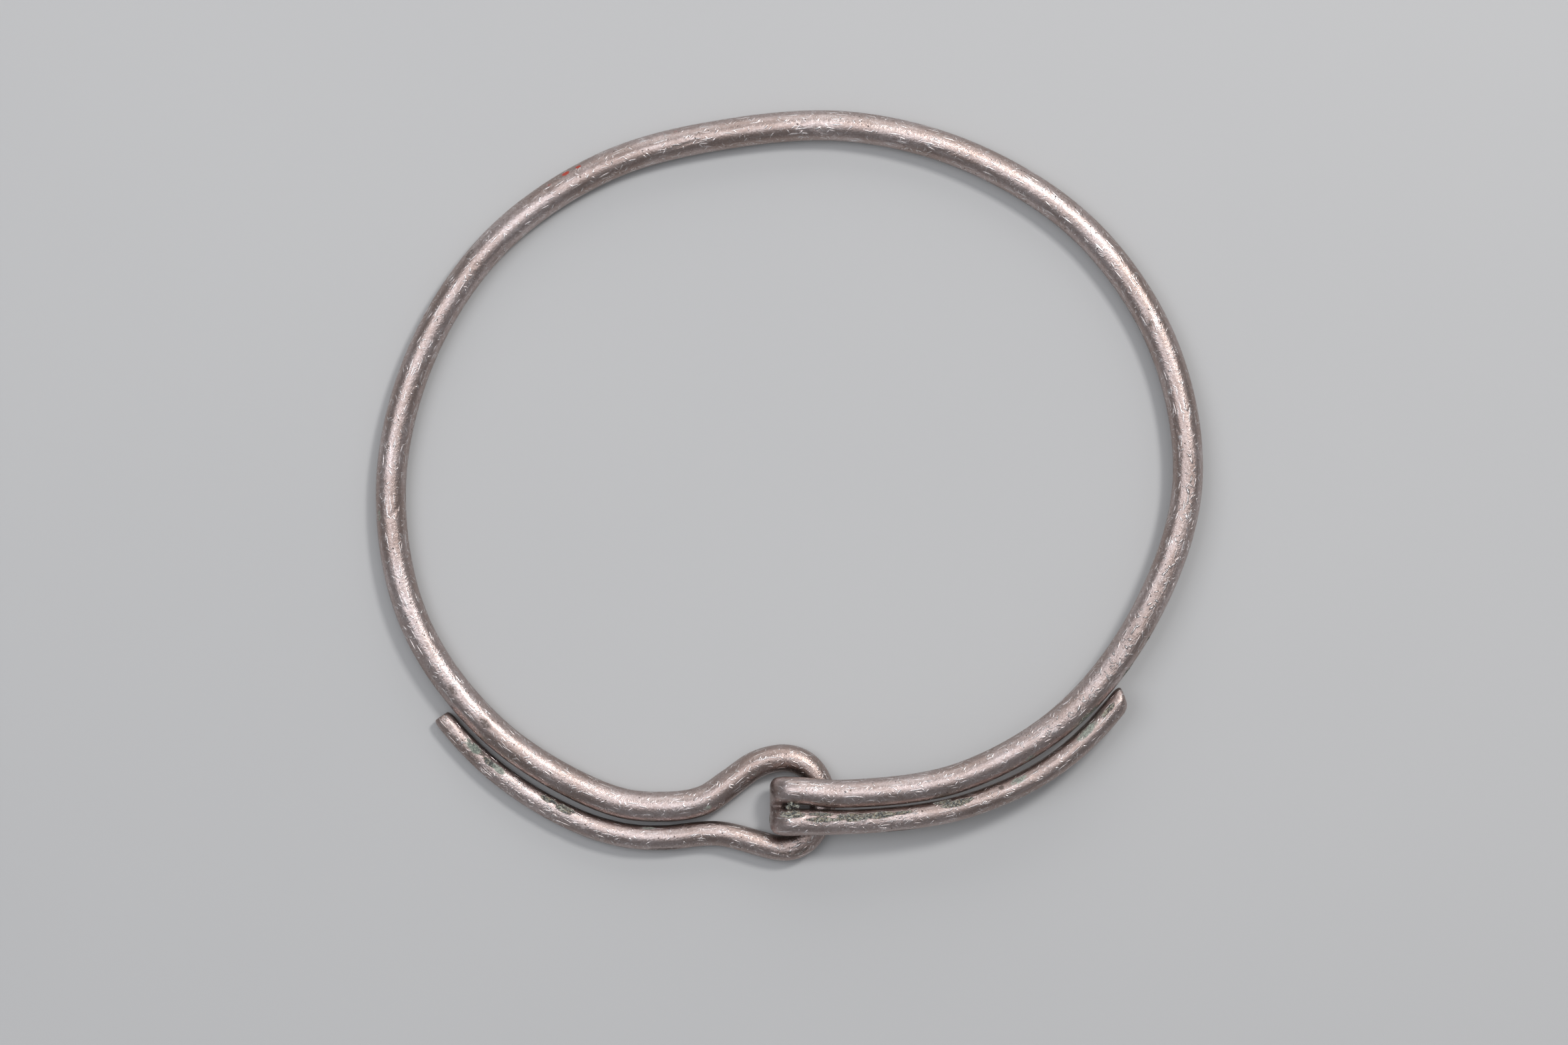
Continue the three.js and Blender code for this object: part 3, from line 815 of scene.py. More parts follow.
class Workshop:
    """The shader groups that more than one finish or more than one layer of a finish uses."""

    def __init__(self) -> None:
        """Builds each group once."""
        self.grain = self.build_grain()
        self.ticks = self.build_ticks()

    @staticmethod
    def new_group(name: str, inputs: dict[str, str], outputs: dict[str, str]) -> NodeBoard:
        """Starts a shader group.

        Args:
            name: The group's name.
            inputs: Socket type for each input.
            outputs: Socket type for each output.

        Returns:
            A board on the group's tree.
        """
        tree = bpy.data.node_groups.new(name, "ShaderNodeTree")
        for side, sockets in (("INPUT", inputs), ("OUTPUT", outputs)):
            for label, kind in sockets.items():
                tree.interface.new_socket(label, in_out=side, socket_type=kind)
        return NodeBoard(tree)

    def build_grain(self) -> bpy.types.NodeTree:
        """Fine pitted grain: its height, and a mask of its deepest pits."""
        board = self.new_group(
            "pitted grain",
            {"Vector": "NodeSocketVector", "Fineness": "NodeSocketFloat"},
            {"Height": "NodeSocketFloat", "Pits": "NodeSocketFloat"},
        )
        given = board.add("NodeGroupInput")
        result = board.add("NodeGroupOutput")
        place = board.add("ShaderNodeVectorMath", operation="SCALE")
        board.fill(place, {"Vector": given.outputs["Vector"], "Scale": given.outputs["Fineness"]})
        coarse = board.noise(place.outputs[0], 1.0, 4.0, 0.62)
        cells = board.fill(board.add("ShaderNodeTexVoronoi"), {"Vector": place.outputs[0], "Scale": 0.55})
        pits = board.window(cells.outputs["Distance"], 0.22, 0.06)
        few = board.window(cells.outputs["Color"], 0.62, 0.7)
        pits = board.times(pits, few)
        height = board.math("SUBTRACT", coarse, board.times(pits, 0.8))
        board.fill(result, {"Height": height, "Pits": pits})
        return board.tree

    def build_ticks(self) -> bpy.types.NodeTree:
        """Separate scratches that all run one way, each a thin spindle, most of them left out."""
        board = self.new_group(
            "scratches",
            {"Vector": "NodeSocketVector", "Angle": "NodeSocketFloat", "Cell": "NodeSocketVector",
             "Share": "NodeSocketFloat"},
            {"Mask": "NodeSocketFloat"},
        )
        given = board.add("NodeGroupInput")
        result = board.add("NodeGroupOutput")
        turned = board.add("ShaderNodeVectorRotate", rotation_type="Z_AXIS")
        board.fill(turned, {"Vector": given.outputs["Vector"], "Angle": given.outputs["Angle"]})
        place = board.add("ShaderNodeVectorMath", operation="DIVIDE")
        board.feed(place.inputs[0], turned.outputs[0])
        board.feed(place.inputs[1], given.outputs["Cell"])
        cells = board.add("ShaderNodeTexVoronoi", voronoi_dimensions="2D")
        board.fill(cells, {"Vector": place.outputs[0], "Scale": 1.0})
        line = board.window(cells.outputs["Distance"], 0.17, 0.05)
        lot = board.add("ShaderNodeSeparateColor")
        board.feed(lot.inputs[0], cells.outputs["Color"])
        kept = board.math("LESS_THAN", lot.outputs[0], given.outputs["Share"])
        strength = board.span(lot.outputs[1], 0.35, 1.0)
        mask = board.times(board.times(line, kept), strength)
        board.feed(result.inputs["Mask"], mask)
        return board.tree


@dataclass(frozen=True)
class SilverFinish:
    """Old silver: warm, pinkish grey, satin from handling, scratched, stained and crusted in its clefts, with
    painted shade on its lower flanks, a painted glow in its clefts and painted glints.
    """

    polished: Colour = (0.95, 0.92, 0.91)
    rubbed_and_glint: Colour = (0.86, 0.815, 0.81)
    body: Colour = (0.56, 0.475, 0.46)
    shade: Colour = (0.37, 0.285, 0.255)
    # Painted shade for the rod's lower flanks.
    painted_flank_shade: Colour = (0.205, 0.145, 0.12)
    stain_and_shadow: Colour = (0.12, 0.098, 0.085)
    # Painted warm reflection for the clefts.
    painted_cleft_glow: Colour = (0.74, 0.57, 0.42)
    sand: Colour = (0.25, 0.215, 0.155)
    pale_crust: Colour = (0.42, 0.42, 0.36)
    seam: Colour = (0.05, 0.055, 0.06)
    verdigris: Colour = (0.33, 0.38, 0.315)
    rust: Colour = (0.38, 0.055, 0.035)
    satin: tuple[float, float] = (0.3, 0.46)
    crust_roughness: float = 0.85
    grain_fineness: float = 2.3
    grain_depth: float = 0.075
    scratch_depth: float = 0.05
    hairlines: tuple[ScratchLayer, ...] = (
        (0.05, (8.0, 0.9, 1.0), 0.55),
        (-0.16, (5.5, 0.8, 1.0), 0.5),
        (0.7, (3.4, 0.8, 1.0), 0.45),
        (-0.9, (3.0, 0.75, 1.0), 0.4),
        (1.4, (1.6, 0.7, 1.0), 0.25),
    )
    rasping: tuple[ScratchLayer, ...] = (
        (0.45, (4.2, 1.5, 1.0), 0.6),
        (-0.6, (3.4, 1.35, 1.0), 0.55),
        (1.15, (2.8, 1.25, 1.0), 0.5),
    )

    def scratches(
        self, board: NodeBoard, workshop: Workshop, skin: Socket, layers: Sequence[ScratchLayer],
    ) -> Socket:
        """Lays scratches over the rod.

        Args:
            board: The material's board.
            workshop: The shader groups.
            skin: The rod's unrolled skin, in millimetres.
            layers: For each layer its angle, the size of its cells and the share of them in use.

        Returns:
            The scratches' mask.
        """
        total: Socket | float = 0.0
        for angle, cell, share in layers:
            ticks = board.add("ShaderNodeGroup", node_tree=workshop.ticks)
            board.fill(ticks, {"Vector": skin, "Angle": angle, "Cell": cell, "Share": share})
            total = board.math("MAXIMUM", ticks.outputs["Mask"], total)
        return total

    def build(self, workshop: Workshop) -> bpy.types.Material:
        """Builds the material.

        Args:
            workshop: The shader groups.

        Returns:
            The finished material.
        """
        material, board, shader = new_material("old silver")
        bar = board.attribute("straight_bar").outputs["Vector"]
        skin = board.add("ShaderNodeUVMap", uv_map="skin").outputs["UV"]

        grain = board.add("ShaderNodeGroup", node_tree=workshop.grain)
        board.fill(grain, {"Vector": bar, "Fineness": self.grain_fineness})
        scratch = self.scratches(board, workshop, skin, self.hairlines)
        rasped = self.scratches(board, workshop, skin, self.rasping)

        cloud = board.noise(board.scaled(bar, (0.35, 1.0, 1.0)), 0.22, 4.0, 0.6)
        streak = board.noise(board.scaled(bar, (0.12, 1.0, 1.0)), 1.9, 3.0, 0.55)
        mottle = board.noise(bar, 1.1, 5.0, 0.62)
        cleft = board.attribute("cleft").outputs["Fac"]
        stain_and_shadow = board.attribute("stain_and_shadow").outputs["Fac"]
        coarse = board.attribute("coarse").outputs["Fac"]
        polish_and_painted_glint = board.attribute("polish_and_painted_glint").outputs["Fac"]
        rasped = board.times(rasped, board.window(coarse, 0.15, 0.8))
        scratch = board.math("MAXIMUM", scratch, rasped)

        colour = board.mix(board.window(cloud, 0.34, 0.66), self.shade, self.body)
        colour = board.mix(board.times(board.window(streak, 0.45, 0.75), 0.22), colour, self.rubbed_and_glint)
        colour = board.mix(board.times(board.window(mottle, 0.58, 0.40), 0.4), colour, self.shade)
        height = board.add("ShaderNodeSeparateXYZ")
        board.feed(height.inputs[0], bar)
        # Painted shade: the colour darkens towards the rod's underside, so its lower flanks are drawn darker.
        low = board.window(board.math("ADD", height.outputs[2], board.span(mottle, 0.5, -0.5)), 1.6, -0.6)
        colour = board.mix(board.times(low, 0.82), colour, self.painted_flank_shade)
        speckle = board.noise(bar, 3.3, 3.0, 0.7)
        colour = board.mix(board.times(board.window(speckle, 0.5, 0.33), 0.5), colour, self.shade)
        colour = board.mix(board.times(board.window(speckle, 0.54, 0.72), 0.45), colour, self.rubbed_and_glint)
        colour = board.mix(board.times(scratch, 0.8), colour, self.polished)
        colour = board.mix(board.times(grain.outputs["Pits"], 0.85), colour, self.stain_and_shadow)
        # Painted glint: the colour is lightened at each gleam mark; the lower roughness further down is real
        # polish.
        colour = board.mix(polish_and_painted_glint, colour, self.rubbed_and_glint)
        ragged = board.times(stain_and_shadow, board.span(board.noise(bar, 2.4, 5.0, 0.7), -0.3, 2.3))
        colour = board.mix(board.times(board.window(ragged, 0.3, 1.0), 0.8), colour, self.stain_and_shadow)
        # Painted reflection: a warm light tan laid in the clefts, where light bounces between the rod's
        # parts.
        colour = board.mix(board.times(board.window(cleft, 0.02, 0.3), 0.7), colour, self.painted_cleft_glow)
        crumbs = board.noise(bar, 2.6, 5.0, 0.68)
        broken = board.noise(board.scaled(bar, (0.5, 1.0, 1.0)), 1.6, 4.0, 0.65)
        crust = board.times(board.attribute("crust").outputs["Fac"], board.span(broken, -0.75, 2.5))
        silt = board.times(cleft, board.span(board.noise(bar, 0.8, 4.0, 0.6), -0.35, 1.75))
        crust = board.window(board.math("MAXIMUM", crust, board.times(silt, 0.62)), 0.3, 0.52)
        green = board.times(board.attribute("verdigris").outputs["Fac"], board.span(broken, -0.6, 2.4))
        green = board.window(green, 0.22, 0.8)
        rust = board.window(board.attribute("rust").outputs["Fac"], 0.25, 0.7)
        seams = board.noise(board.scaled(bar, (0.55, 1.0, 1.0)), 2.6, 3.0, 0.6)
        seams = board.window(board.math("ABSOLUTE", board.math("SUBTRACT", seams, 0.47)), 0.07, 0.03)
        earth = board.mix(board.window(crumbs, 0.47, 0.56), self.sand, self.pale_crust)
        earth = board.mix(board.times(seams, 0.95), earth, self.seam)
        colour = board.mix(crust, colour, earth)
        patina = board.mix(board.times(seams, 0.6), self.verdigris, self.seam)
        colour = board.mix(board.times(green, 0.85), colour, patina)
        colour = board.mix(rust, colour, self.rust)
        board.feed(shader.inputs["Base Color"], colour)

        covered = board.math("MAXIMUM", board.math("MAXIMUM", crust, rust), board.times(green, 0.75))
        board.feed(shader.inputs["Metallic"], board.span(covered, 1.0, 0.0))
        satin = board.span(board.math("MULTIPLY_ADD", mottle, 0.6, 0.1), *self.satin)
        satin = board.math("ADD", satin, board.times(coarse, 0.12))
        satin = board.math("ADD", satin, board.times(board.window(ragged, 0.18, 0.8), 0.2))
        satin = board.math("SUBTRACT", satin, board.times(polish_and_painted_glint, 0.12))
        satin = board.math("SUBTRACT", satin, board.times(scratch, 0.16))
        rough = board.math("MAXIMUM", satin, board.times(covered, self.crust_roughness))
        board.feed(shader.inputs["Roughness"], rough)

        relief = board.times(grain.outputs["Height"], self.grain_depth)
        furrows = board.times(scratch, board.math("MULTIPLY_ADD", coarse, 0.18, self.scratch_depth))
        relief = board.math("SUBTRACT", relief, furrows)
        gritty = board.times(board.noise(board.scaled(bar, (0.5, 1.0, 1.0)), 3.1, 4.0, 0.6), 0.16)
        relief = board.math("ADD", relief, board.times(gritty, coarse))
        relief = board.math("ADD", relief, board.times(crumbs, board.times(crust, 0.22)))
        board.relieve(shader, relief, 0.9, MM)
        return material


@dataclass(frozen=True)
class PaperFinish:
    """The pale, matt sheet that the ring lies on."""

    pale: Colour = (0.53, 0.53, 0.53)
    paler: Colour = (0.56, 0.56, 0.556)
    roughness: float = 0.9

    def build(self) -> bpy.types.Material:
        """Builds the material, with a barely visible tooth."""
        material, board, shader = new_material("pale sheet")
        shader.inputs["Roughness"].default_value = self.roughness
        shader.inputs["Specular IOR Level"].default_value = 0.2
        place = board.add("ShaderNodeTexCoord").outputs["Object"]
        board.feed(shader.inputs["Base Color"], board.mix(board.noise(place, 9.0), self.pale, self.paler))
        board.relieve(shader, board.noise(place, 900.0), 0.05, 0.1 * MM)
        return material


@dataclass
class TorcRod:
    """The whole neck ring: one rod of silver."""

    plan: RodPlan
    finish: SilverFinish
    sides: int = 64
    cuts: tuple[int, int] = (36, 37)
    tip_rings: int = 9
    tip_slants: tuple[float, float] = (0.11, -0.55)
    slant_reach: float = 6.0
    start_trim: float = 0.1
    dints: int = 170
    dint_reach: float = 4.0
    seed: int = 11

    def build(self, workshop: Workshop) -> bpy.types.Object:
        """Forges, marks, bends and dresses the rod.

        Args:
            workshop: The shader groups.

        Returns:
            The finished rod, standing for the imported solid.
        """
        line = self.plan.line()
        rod = self.forge_bar(line)
        bar = StraightBar.read(rod.data)
        self.draw_down(bar, line)
        self.store(rod.data, "straight_bar", bar.spots())
        self.unroll(rod.data, bar)
        crust = self.mark(bar, line, rod.data)
        bar.write(rod.data)
        self.hammer(rod, crust)
        self.bend(rod.data, StraightBar.read(rod.data), line)
        self.find_clefts(rod.data)
        self.smooth(rod)
        rod.data.materials.append(self.finish.build(workshop))
        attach(rod, "root")
        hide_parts("torc_rod")
        return rod

    def forge_bar(self, line: RodLine) -> bpy.types.Object:
        """Makes the straight bar along X: a cylinder with rounded ends, cut into close rings."""
        plan = self.plan
        length, radius, rounding = line.length * MM, plan.hoop_rod / 2.0 * MM, plan.tip_rounding * MM
        deselect_everything()
        bpy.ops.mesh.primitive_cylinder_add(
            vertices=self.sides, radius=radius, depth=length - 2.0 * rounding, end_fill_type="NGON",
            location=(length / 2.0, 0.0, 0.0), rotation=(0.0, math.pi / 2.0, 0.0),
        )
        rod = bpy.context.active_object
        rod.name = rod.data.name = "silver_rod"
        bpy.ops.object.transform_apply(location=True, rotation=True, scale=True)
        with at_the_bench(rod, "EDGE") as form:
            choose(form.edges, lambda edge: edge.calc_length() > length / 2.0)
            bpy.ops.mesh.subdivide(number_cuts=self.cuts[0])
        with at_the_bench(rod, "EDGE") as form:
            ring = length / (self.cuts[0] + 2)
            choose(form.edges, lambda edge: edge.calc_length() > ring / 2.0)
            bpy.ops.mesh.subdivide(number_cuts=self.cuts[1])
        for end in (-1, 1):
            self.round_tip(rod, end, length)
        return rod

    def round_tip(self, rod: bpy.types.Object, end: int, length: float) -> None:
        """Rounds one end of the bar towards its worn flat face, ring by ring.

        Args:
            rod: The bar.
            end: -1 for the end at the origin and 1 for the other.
            length: The bar's whole length, in metres.
        """
        plan = self.plan
        face_share = plan.tip_face / (plan.right_tip_rod if end > 0 else plan.left_tip_rod)
        turns = [math.pi / 2.0 * index / self.tip_rings for index in range(self.tip_rings + 1)]
        shares = [face_share + (1.0 - face_share) * math.cos(turn) for turn in turns]
        reaches = [plan.tip_rounding * MM * math.sin(turn) for turn in turns]
        middle = (length, 0.0, 0.0) if end > 0 else (0.0, 0.0, 0.0)
        with at_the_bench(rod, "FACE") as form:
            choose(form.faces, lambda face: face.normal.x * end > 0.9)
            for index in range(1, self.tip_rings + 1):
                step = (end * (reaches[index] - reaches[index - 1]), 0.0, 0.0)
                bpy.ops.mesh.extrude_region_move(TRANSFORM_OT_translate={"value": step})
                shrink = shares[index] / shares[index - 1]
                bpy.ops.transform.resize(value=(1.0, shrink, shrink), center_override=middle)
            for shrink in (0.82, 0.75, 0.66, 0.5):
                bpy.ops.mesh.extrude_region_move(TRANSFORM_OT_translate={"value": (0.0, 0.0, 0.0)})
                bpy.ops.transform.resize(value=(1.0, shrink, shrink), center_override=middle)

    def draw_down(self, bar: StraightBar, line: RodLine) -> None:
        """Gives the bar its thickness all along, its uneven roundness and its slanted tips."""
        half = line.reading(line.rod, bar.along) / 2.0
        bar.radius *= half / (self.plan.hoop_rod / 2.0)
        drift = 0.9 * np.sin(bar.along / 31.0) + 0.6 * np.sin(bar.along / 12.7 + 1.3)
        swell = 0.5 + 0.5 * np.sin(bar.along / 23.0 + 0.4)
        planes = np.cos(5.0 * bar.turn + 1.7 * drift) * lerp(0.5, 1.0, swell)
        planes += 0.6 * np.cos(3.0 * bar.turn - 1.1 * drift + 0.8)
        bar.radius *= 1.0 + 0.0032 * planes - 0.004
        flattening = line.reading(line.flattening, bar.along)
        turned = np.clip((1.0 - flattening) / (1.0 - self.plan.hook_flattening), 0.0, 1.0)
        bar.radius *= 1.0 + self.plan.hook_squareness * np.sqrt(turned) * np.sin(2.0 * bar.turn) ** 2
        width = bar.radius * np.sin(bar.turn)
        near_end = smoothstep(bar.along, line.length - self.slant_reach, line.length)
        near_start = smoothstep(bar.along, self.slant_reach, 0.0)
        bar.along += near_end * width * self.tip_slants[1]
        bar.along -= near_start * (width * self.tip_slants[0] - self.start_trim)

    def store(self, mesh: bpy.types.Mesh, name: str, values: np.ndarray) -> None:
        """Keeps a value or a place for each vertex, for the shaders."""
        kind = "FLOAT_VECTOR" if values.ndim == 2 else "FLOAT"
        attribute = mesh.attributes.new(name, kind, "POINT")
        attribute.data.foreach_set("vector" if values.ndim == 2 else "value", values.ravel())

    def unroll(self, mesh: bpy.types.Mesh, bar: StraightBar) -> None:
        """Unrolls the bar's skin into a map in millimetres, cut open along its underside."""
        for layer in list(mesh.uv_layers):
            mesh.uv_layers.remove(layer)
        layer = mesh.uv_layers.new(name="skin")
        corners = np.empty(len(mesh.loops), dtype=np.int64)
        mesh.loops.foreach_get("vertex_index", corners)
        starts = np.empty(len(mesh.polygons), dtype=np.int64)
        totals = np.empty(len(mesh.polygons), dtype=np.int64)
        mesh.polygons.foreach_get("loop_start", starts)
        mesh.polygons.foreach_get("loop_total", totals)
        turn = bar.turn[corners]
        face = np.repeat(np.arange(len(starts)), totals)
        high = np.maximum.reduceat(turn, starts)[face]
        low = np.minimum.reduceat(turn, starts)[face]
        turn = np.where((high - low > math.pi) & (turn < 0.0), turn + 2.0 * math.pi, turn)
        spread = np.column_stack([bar.along[corners], turn * self.plan.hoop_rod / 2.0])
        layer.data.foreach_set("uv", spread.ravel())

    def mark(self, bar: StraightBar, line: RodLine, mesh: bpy.types.Mesh) -> np.ndarray:
        """Puts every mark on the bar.

        Args:
            bar: The straight bar, which takes the dents and the flats.
            line: The bent rod's line, for finding each mark's place.
            mesh: The bar's mesh, which takes the stains, the painted shadows and glints and the other colour
                marks as attributes.

        Returns:
            How thick the crust lies at each vertex, in millimetres.
        """
        masks = {effect: np.zeros(len(bar.along)) for effect in Effect}
        crust_depth = np.zeros(len(bar.along))
        sunk = np.zeros(len(bar.along))
        for mark in MARKS:
            near = bar.nearness(line, mark)
            if mark.effect is Effect.DENT:
                sunk = np.maximum(sunk, near * mark.depth)
                masks[Effect.STAIN_AND_SHADOW] = np.maximum(masks[Effect.STAIN_AND_SHADOW], near * min(0.45, mark.depth * 4.0))
            elif mark.effect is Effect.FLAT:
                self.flatten(bar, line, mark, near)
            elif mark.effect is Effect.CRUST:
                masks[Effect.CRUST] = np.maximum(masks[Effect.CRUST], near)
                crust_depth = np.maximum(crust_depth, near * mark.depth)
            else:
                masks[mark.effect] = np.maximum(masks[mark.effect], near * mark.depth)
        bar.radius -= sunk + self.small_dints(bar, line)
        for effect in (STAIN_AND_SHADOW, CRUST, VERDIGRIS, RUST, COARSE, POLISH_AND_PAINTED_GLINT):
            self.store(mesh, effect.value, masks[effect])
        LOG.info("rod: %d marks", len(MARKS))
        return crust_depth

    def flatten(self, bar: StraightBar, line: RodLine, mark: Mark, near: np.ndarray) -> None:
        """Hammers a small plane on the bar, no deeper than the mark says."""
        middle, arc, _ = line.locate(mark.stretch, mark.x, mark.y)
        radius = line.reading(line.rod, np.array([middle]))[0] / 2.0
        tilt = np.cos(bar.turn - arc / radius)
        plane = (radius - mark.depth) / np.maximum(tilt, 0.2)
        cut = np.minimum(bar.radius, plane)
        bar.radius = lerp(bar.radius, cut, np.clip(1.6 * near, 0.0, 1.0))

    def small_dints(self, bar: StraightBar, line: RodLine) -> np.ndarray:
        """Scatters small shallow dints of all headings over the whole rod."""
        lots = np.random.default_rng(self.seed)
        sunk = np.zeros(len(bar.along))
        for _ in range(self.dints):
            middle = lots.uniform(self.dint_reach, line.length - self.dint_reach)
            turn = lots.uniform(-math.pi, math.pi)
            long_side, short_side = lots.uniform(0.25, 0.9), lots.uniform(0.2, 0.34)
            depth, heading = lots.uniform(0.01, 0.04), lots.uniform(0.0, math.pi)
            near = np.flatnonzero(np.abs(bar.along - middle) < self.dint_reach)
            ahead = bar.along[near] - middle
            off = (bar.turn[near] - turn + math.pi) % (2.0 * math.pi) - math.pi
            across = off * bar.radius[near]
            lengthwise = (ahead * math.cos(heading) + across * math.sin(heading)) / long_side
            crosswise = (across * math.cos(heading) - ahead * math.sin(heading)) / short_side
            dint = depth * np.exp(-(lengthwise**2 + crosswise**2))
            sunk[near] = np.maximum(sunk[near], dint)
        return sunk

    def hammer(self, rod: bpy.types.Object, crust: np.ndarray) -> None:
        """Makes the surface uneven, in long swells, in hammer marks and, where it is crusted, in lumps."""
        coarse = np.empty(len(rod.data.vertices))
        rod.data.attributes["coarse"].data.foreach_get("value", coarse)
        roughen(rod, "swells", 9.0, 1, 0.018)
        roughen(rod, "hammer marks", 2.2, 2, 0.009)
        roughen(rod, "coarse skin", 0.75, 2, 0.1, self.weigh(rod, "coarse skin", coarse))
        roughen(rod, "crust lumps", 0.55, 2, 1.6, self.weigh(rod, "crust lumps", crust), level=0.2)
        rod.vertex_groups.clear()

    def weigh(self, rod: bpy.types.Object, name: str, weight: np.ndarray) -> str:
        """Makes a vertex group of the vertices that a layer reaches, and returns its name."""
        group = rod.vertex_groups.new(name=name)
        for index in np.flatnonzero(weight > 0.01):
            group.add([int(index)], float(min(weight[index], 1.0)), "REPLACE")
        return group.name

    def bend(self, mesh: bpy.types.Mesh, bar: StraightBar, line: RodLine) -> None:
        """Bends the bar along the line, section by section.

        A Curve modifier can't hold the way that the hook's flattened end faces, so the sections are
        placed here. What would sink into the ground is worn flat on it.
        """
        along = np.clip(bar.along, 0.0, line.length)
        tangent = unit(line.reading(line.tangent, along))
        up = line.reading(line.up, along)
        up = unit(up - tangent * np.einsum("ij,ij->i", up, tangent)[:, None])
        side = np.cross(tangent, up)
        flattening = line.reading(line.flattening, along)
        turned = np.clip((1.0 - flattening) / (1.0 - self.plan.hook_flattening), 0.0, 1.0)
        rise = bar.radius * np.cos(bar.turn) * flattening
        rise *= np.where(rise < 0.0, lerp(1.0, self.plan.hook_hollowing, turned), 1.0)
        width = bar.radius * np.sin(bar.turn)
        beyond = (bar.along - along)[:, None]
        spots = line.reading(line.point, along) + up * rise[:, None]
        spots = spots + side * width[:, None] + tangent * beyond
        spots[:, 2] = np.maximum(spots[:, 2], 0.0)
        mesh.vertices.foreach_set("co", (spots * MM).ravel())
        mesh.update()

    def find_clefts(self, mesh: bpy.types.Mesh, reach: float = 1.7) -> None:
        """Marks the skin that another part of the rod covers closely, where dirt gathers and a warm
        reflection is painted.

        Args:
            mesh: The bent rod.
            reach: How near the covering part is, in millimetres, where the cleft fades out.
        """
        count = len(mesh.vertices)
        spots, normals = np.empty(count * 3), np.empty(count * 3)
        mesh.vertices.foreach_get("co", spots)
        mesh.vertex_normals.foreach_get("vector", normals)
        spots, normals = spots.reshape(-1, 3), normals.reshape(-1, 3)
        faces = [tuple(face.vertices) for face in mesh.polygons]
        tree = BVHTree.FromPolygons([Vector(spot) for spot in spots], faces)
        cleft = np.zeros(count)
        for index in range(count):
            outward = Vector(normals[index])
            start = Vector(spots[index]) + outward * 0.05 * MM
            hit = tree.ray_cast(start, outward, reach * MM)[3]
            if hit is not None:
                cleft[index] = 1.0 - hit / (reach * MM)
        self.store(mesh, "cleft", cleft)

    def smooth(self, rod: bpy.types.Object) -> None:
        """Shades the rod smooth, except across edges as sharp as a tip's rim."""
        deselect_everything()
        rod.select_set(True)
        bpy.context.view_layer.objects.active = rod
        bpy.ops.object.shade_smooth_by_angle(angle=math.radians(70.0))


@dataclass(frozen=True)
class CrustFinish:
    """Hard crust of burial: grey-green and sandy, with pale grains and painted shade in its hollows."""

    sand: Colour = (0.20, 0.185, 0.14)
    pale: Colour = (0.47, 0.485, 0.42)
    painted_hollow_shade: Colour = (0.02, 0.023, 0.027)

    def build(self) -> bpy.types.Material:
        """Builds the material."""
        material, board, shader = new_material("burial crust")
        shader.inputs["Specular IOR Level"].default_value = 0.4
        place = board.add("ShaderNodeTexCoord").outputs["Object"]
        patch = board.noise(place, 1400.0, 4.0, 0.65)
        fine = board.noise(place, 3200.0, 4.0, 0.7)
        colour = board.mix(board.window(patch, 0.47, 0.57), self.sand, self.pale)
        # Painted shade: near black where the relief below is lowest.
        colour = board.mix(board.window(fine, 0.52, 0.47), colour, self.painted_hollow_shade)
        board.feed(shader.inputs["Base Color"], colour)
        board.feed(shader.inputs["Roughness"], board.span(fine, 0.6, 0.95))
        board.relieve(shader, fine, 0.8, 0.25 * MM)
        return material


@dataclass(frozen=True)
class Crumb:
    """One lump of crust, in millimetres: its middle and its half sizes."""

    x: float
    y: float
    z: float
    long: float
    wide: float
    high: float
    heading: float = 0.0


@dataclass
class ClaspCrust:
    """The crust left in the hook's hollow and along the slot behind it."""

    lumps: tuple[Crumb, ...] = (
        Crumb(0.25, -53.45, 7.5, 0.55, 0.4, 0.45, -50.0),
        Crumb(0.75, -53.85, 7.45, 0.5, 0.34, 0.4, -20.0),
        Crumb(1.35, -54.0, 7.3, 0.42, 0.3, 0.34, 25.0),
        Crumb(0.0, -54.2, 6.9, 0.6, 0.4, 0.5),
        Crumb(0.75, -55.15, 7.95, 0.75, 0.55, 0.42, 12.0),
        Crumb(1.5, -55.2, 8.05, 0.6, 0.5, 0.36, -12.0),
        Crumb(1.1, -55.7, 8.15, 0.7, 0.32, 0.3, 4.0),
        Crumb(-0.3, -55.3, 7.55, 0.7, 0.5, 0.46, 20.0),
        Crumb(-1.2, -55.5, 7.0, 0.6, 0.5, 0.46, 8.0),
        Crumb(-0.6, -55.95, 7.75, 0.55, 0.34, 0.34, -10.0),
    )
    fineness: int = 4
    raggedness: float = 0.42

    def build(self) -> bpy.types.Object:
        """Builds the lumps, joins them into one crust and roughens it."""
        parts = [self.lump(each) for each in self.lumps]
        deselect_everything()
        for part in parts:
            part.select_set(True)
        bpy.context.view_layer.objects.active = parts[0]
        bpy.ops.object.join()
        crust = bpy.context.active_object
        crust.name = crust.data.name = "clasp_crust"
        for name, grain, share in (("crags", 0.6, 1.0), ("grit", 0.22, 0.45)):
            roughen(crust, name, grain, 3, self.raggedness * share)
        crust.data.materials.append(CrustFinish().build())
        bpy.ops.object.shade_smooth_by_angle(angle=math.radians(40.0))
        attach(crust, "root")
        return crust

    def lump(self, crumb: Crumb) -> bpy.types.Object:
        """Adds one lump: a ball drawn out to its sizes, in its place."""
        deselect_everything()
        bpy.ops.mesh.primitive_ico_sphere_add(
            subdivisions=self.fineness, radius=MM, location=(crumb.x * MM, crumb.y * MM, crumb.z * MM),
            rotation=(0.0, 0.0, math.radians(crumb.heading)), scale=(crumb.long, crumb.wide, crumb.high),
        )
        lump = bpy.context.active_object
        bpy.ops.object.transform_apply(location=True, rotation=True, scale=True)
        return lump


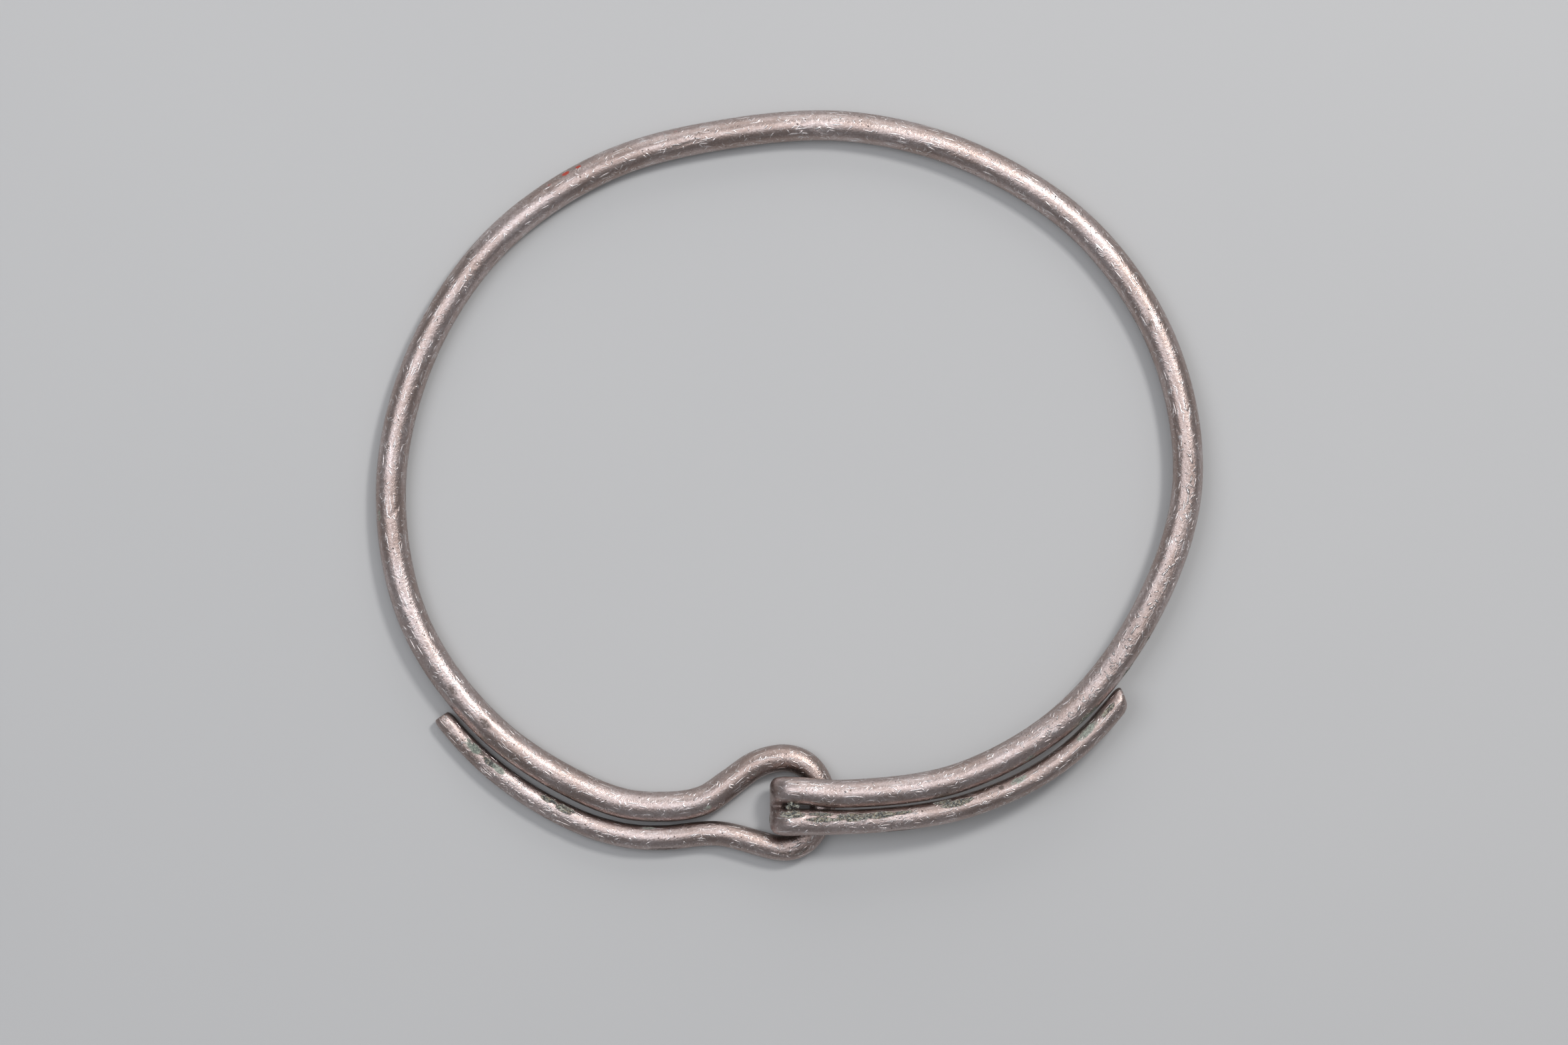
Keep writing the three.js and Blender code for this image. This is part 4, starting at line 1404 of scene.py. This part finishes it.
@dataclass(frozen=True)
class SoftLight:
    """A plain soft panel of light that faces the ring, in metres and watts."""

    name: str
    place: tuple[float, float, float]
    size: tuple[float, float]
    power: float
    colour: Colour = (1.0, 1.0, 1.0)

    def build(self) -> bpy.types.Object:
        """Hangs the panel."""
        panel = bpy.data.lights.new(self.name, "AREA")
        panel.shape = "RECTANGLE"
        panel.size, panel.size_y = self.size
        panel.energy = self.power
        panel.color = self.colour
        holder = bpy.data.objects.new(self.name, panel)
        bpy.context.scene.collection.objects.link(holder)
        holder.location = self.place
        holder.rotation_euler = (-Vector(self.place)).to_track_quat("-Z", "Y").to_euler()
        return holder


@dataclass(frozen=True)
class Studio:
    """The pale floor, the soft light and the camera straight above the ring."""

    floor_width: float = 6.0
    floor_drop: float = 0.02 * MM
    picture_width_px: int = 2353
    picture_width: float = 265.4 * MM
    picture_middle: tuple[float, float] = (-0.853 * MM, -6.231 * MM)
    rod_middle_height: float = 2.5 * MM
    lens: float = 120.0
    sensor: float = 36.0
    surround: Colour = (0.74, 0.76, 0.80)
    surround_strength: float = 0.30
    lights: tuple[SoftLight, ...] = (
        SoftLight("key", (0.38, 0.42, 0.78), (0.17, 0.17), 3.6, (1.0, 0.99, 0.985)),
        SoftLight("back panel", (0.05, 1.25, 0.55), (1.7, 0.8), 5.6, (1.0, 0.985, 0.98)),
        SoftLight("left panel", (-0.44, 0.12, 0.86), (0.46, 0.5), 2.2, (0.93, 0.95, 1.0)),
        SoftLight("overhead panel", (0.05, 0.1, 1.3), (1.0, 0.8), 3.0, (0.97, 0.97, 1.0)),
    )

    def build(self) -> None:
        """Builds the floor, the lights, the surround and the camera."""
        self.lay_floor()
        for light in self.lights:
            light.build()
        self.light_surround()
        self.set_camera()
        bpy.context.scene.view_settings.view_transform = "Standard"

    def lay_floor(self) -> None:
        """Lays the floor just under the ring."""
        deselect_everything()
        bpy.ops.mesh.primitive_plane_add(size=self.floor_width, location=(0.0, 0.0, -self.floor_drop))
        floor = bpy.context.active_object
        floor.name = "floor"
        bpy.ops.object.transform_apply(location=True, rotation=True, scale=True)
        floor.data.materials.append(PaperFinish().build())

    def light_surround(self) -> None:
        """Fills the room with an even, slightly cool light."""
        world = bpy.data.worlds.new("surround")
        world.use_nodes = True
        background = world.node_tree.nodes["Background"]
        background.inputs["Color"].default_value = (*self.surround, 1.0)
        background.inputs["Strength"].default_value = self.surround_strength
        bpy.context.scene.world = world

    def set_camera(self) -> None:
        """Hangs the camera straight above, at the height that gives the photograph's scale."""
        camera = bpy.data.cameras.new("camera")
        camera.lens = self.lens
        camera.sensor_width = self.sensor
        camera.clip_start = 0.01
        height = self.rod_middle_height + self.picture_width * self.lens / self.sensor
        holder = bpy.data.objects.new("camera", camera)
        holder.location = (*self.picture_middle, height)
        bpy.context.scene.collection.objects.link(holder)
        bpy.context.scene.camera = holder


def main() -> None:
    """Builds the ring and the studio in order, and reports each piece."""
    logging.basicConfig(level=logging.INFO, format="%(message)s")
    workshop = Workshop()
    rod = TorcRod(RodPlan(), SilverFinish()).build(workshop)
    crust = ClaspCrust().build()
    for piece in (rod, crust):
        LOG.info("%s: %d faces", piece.name, len(piece.data.polygons))
    Studio().build()


if __name__ == "__main__":
    main()
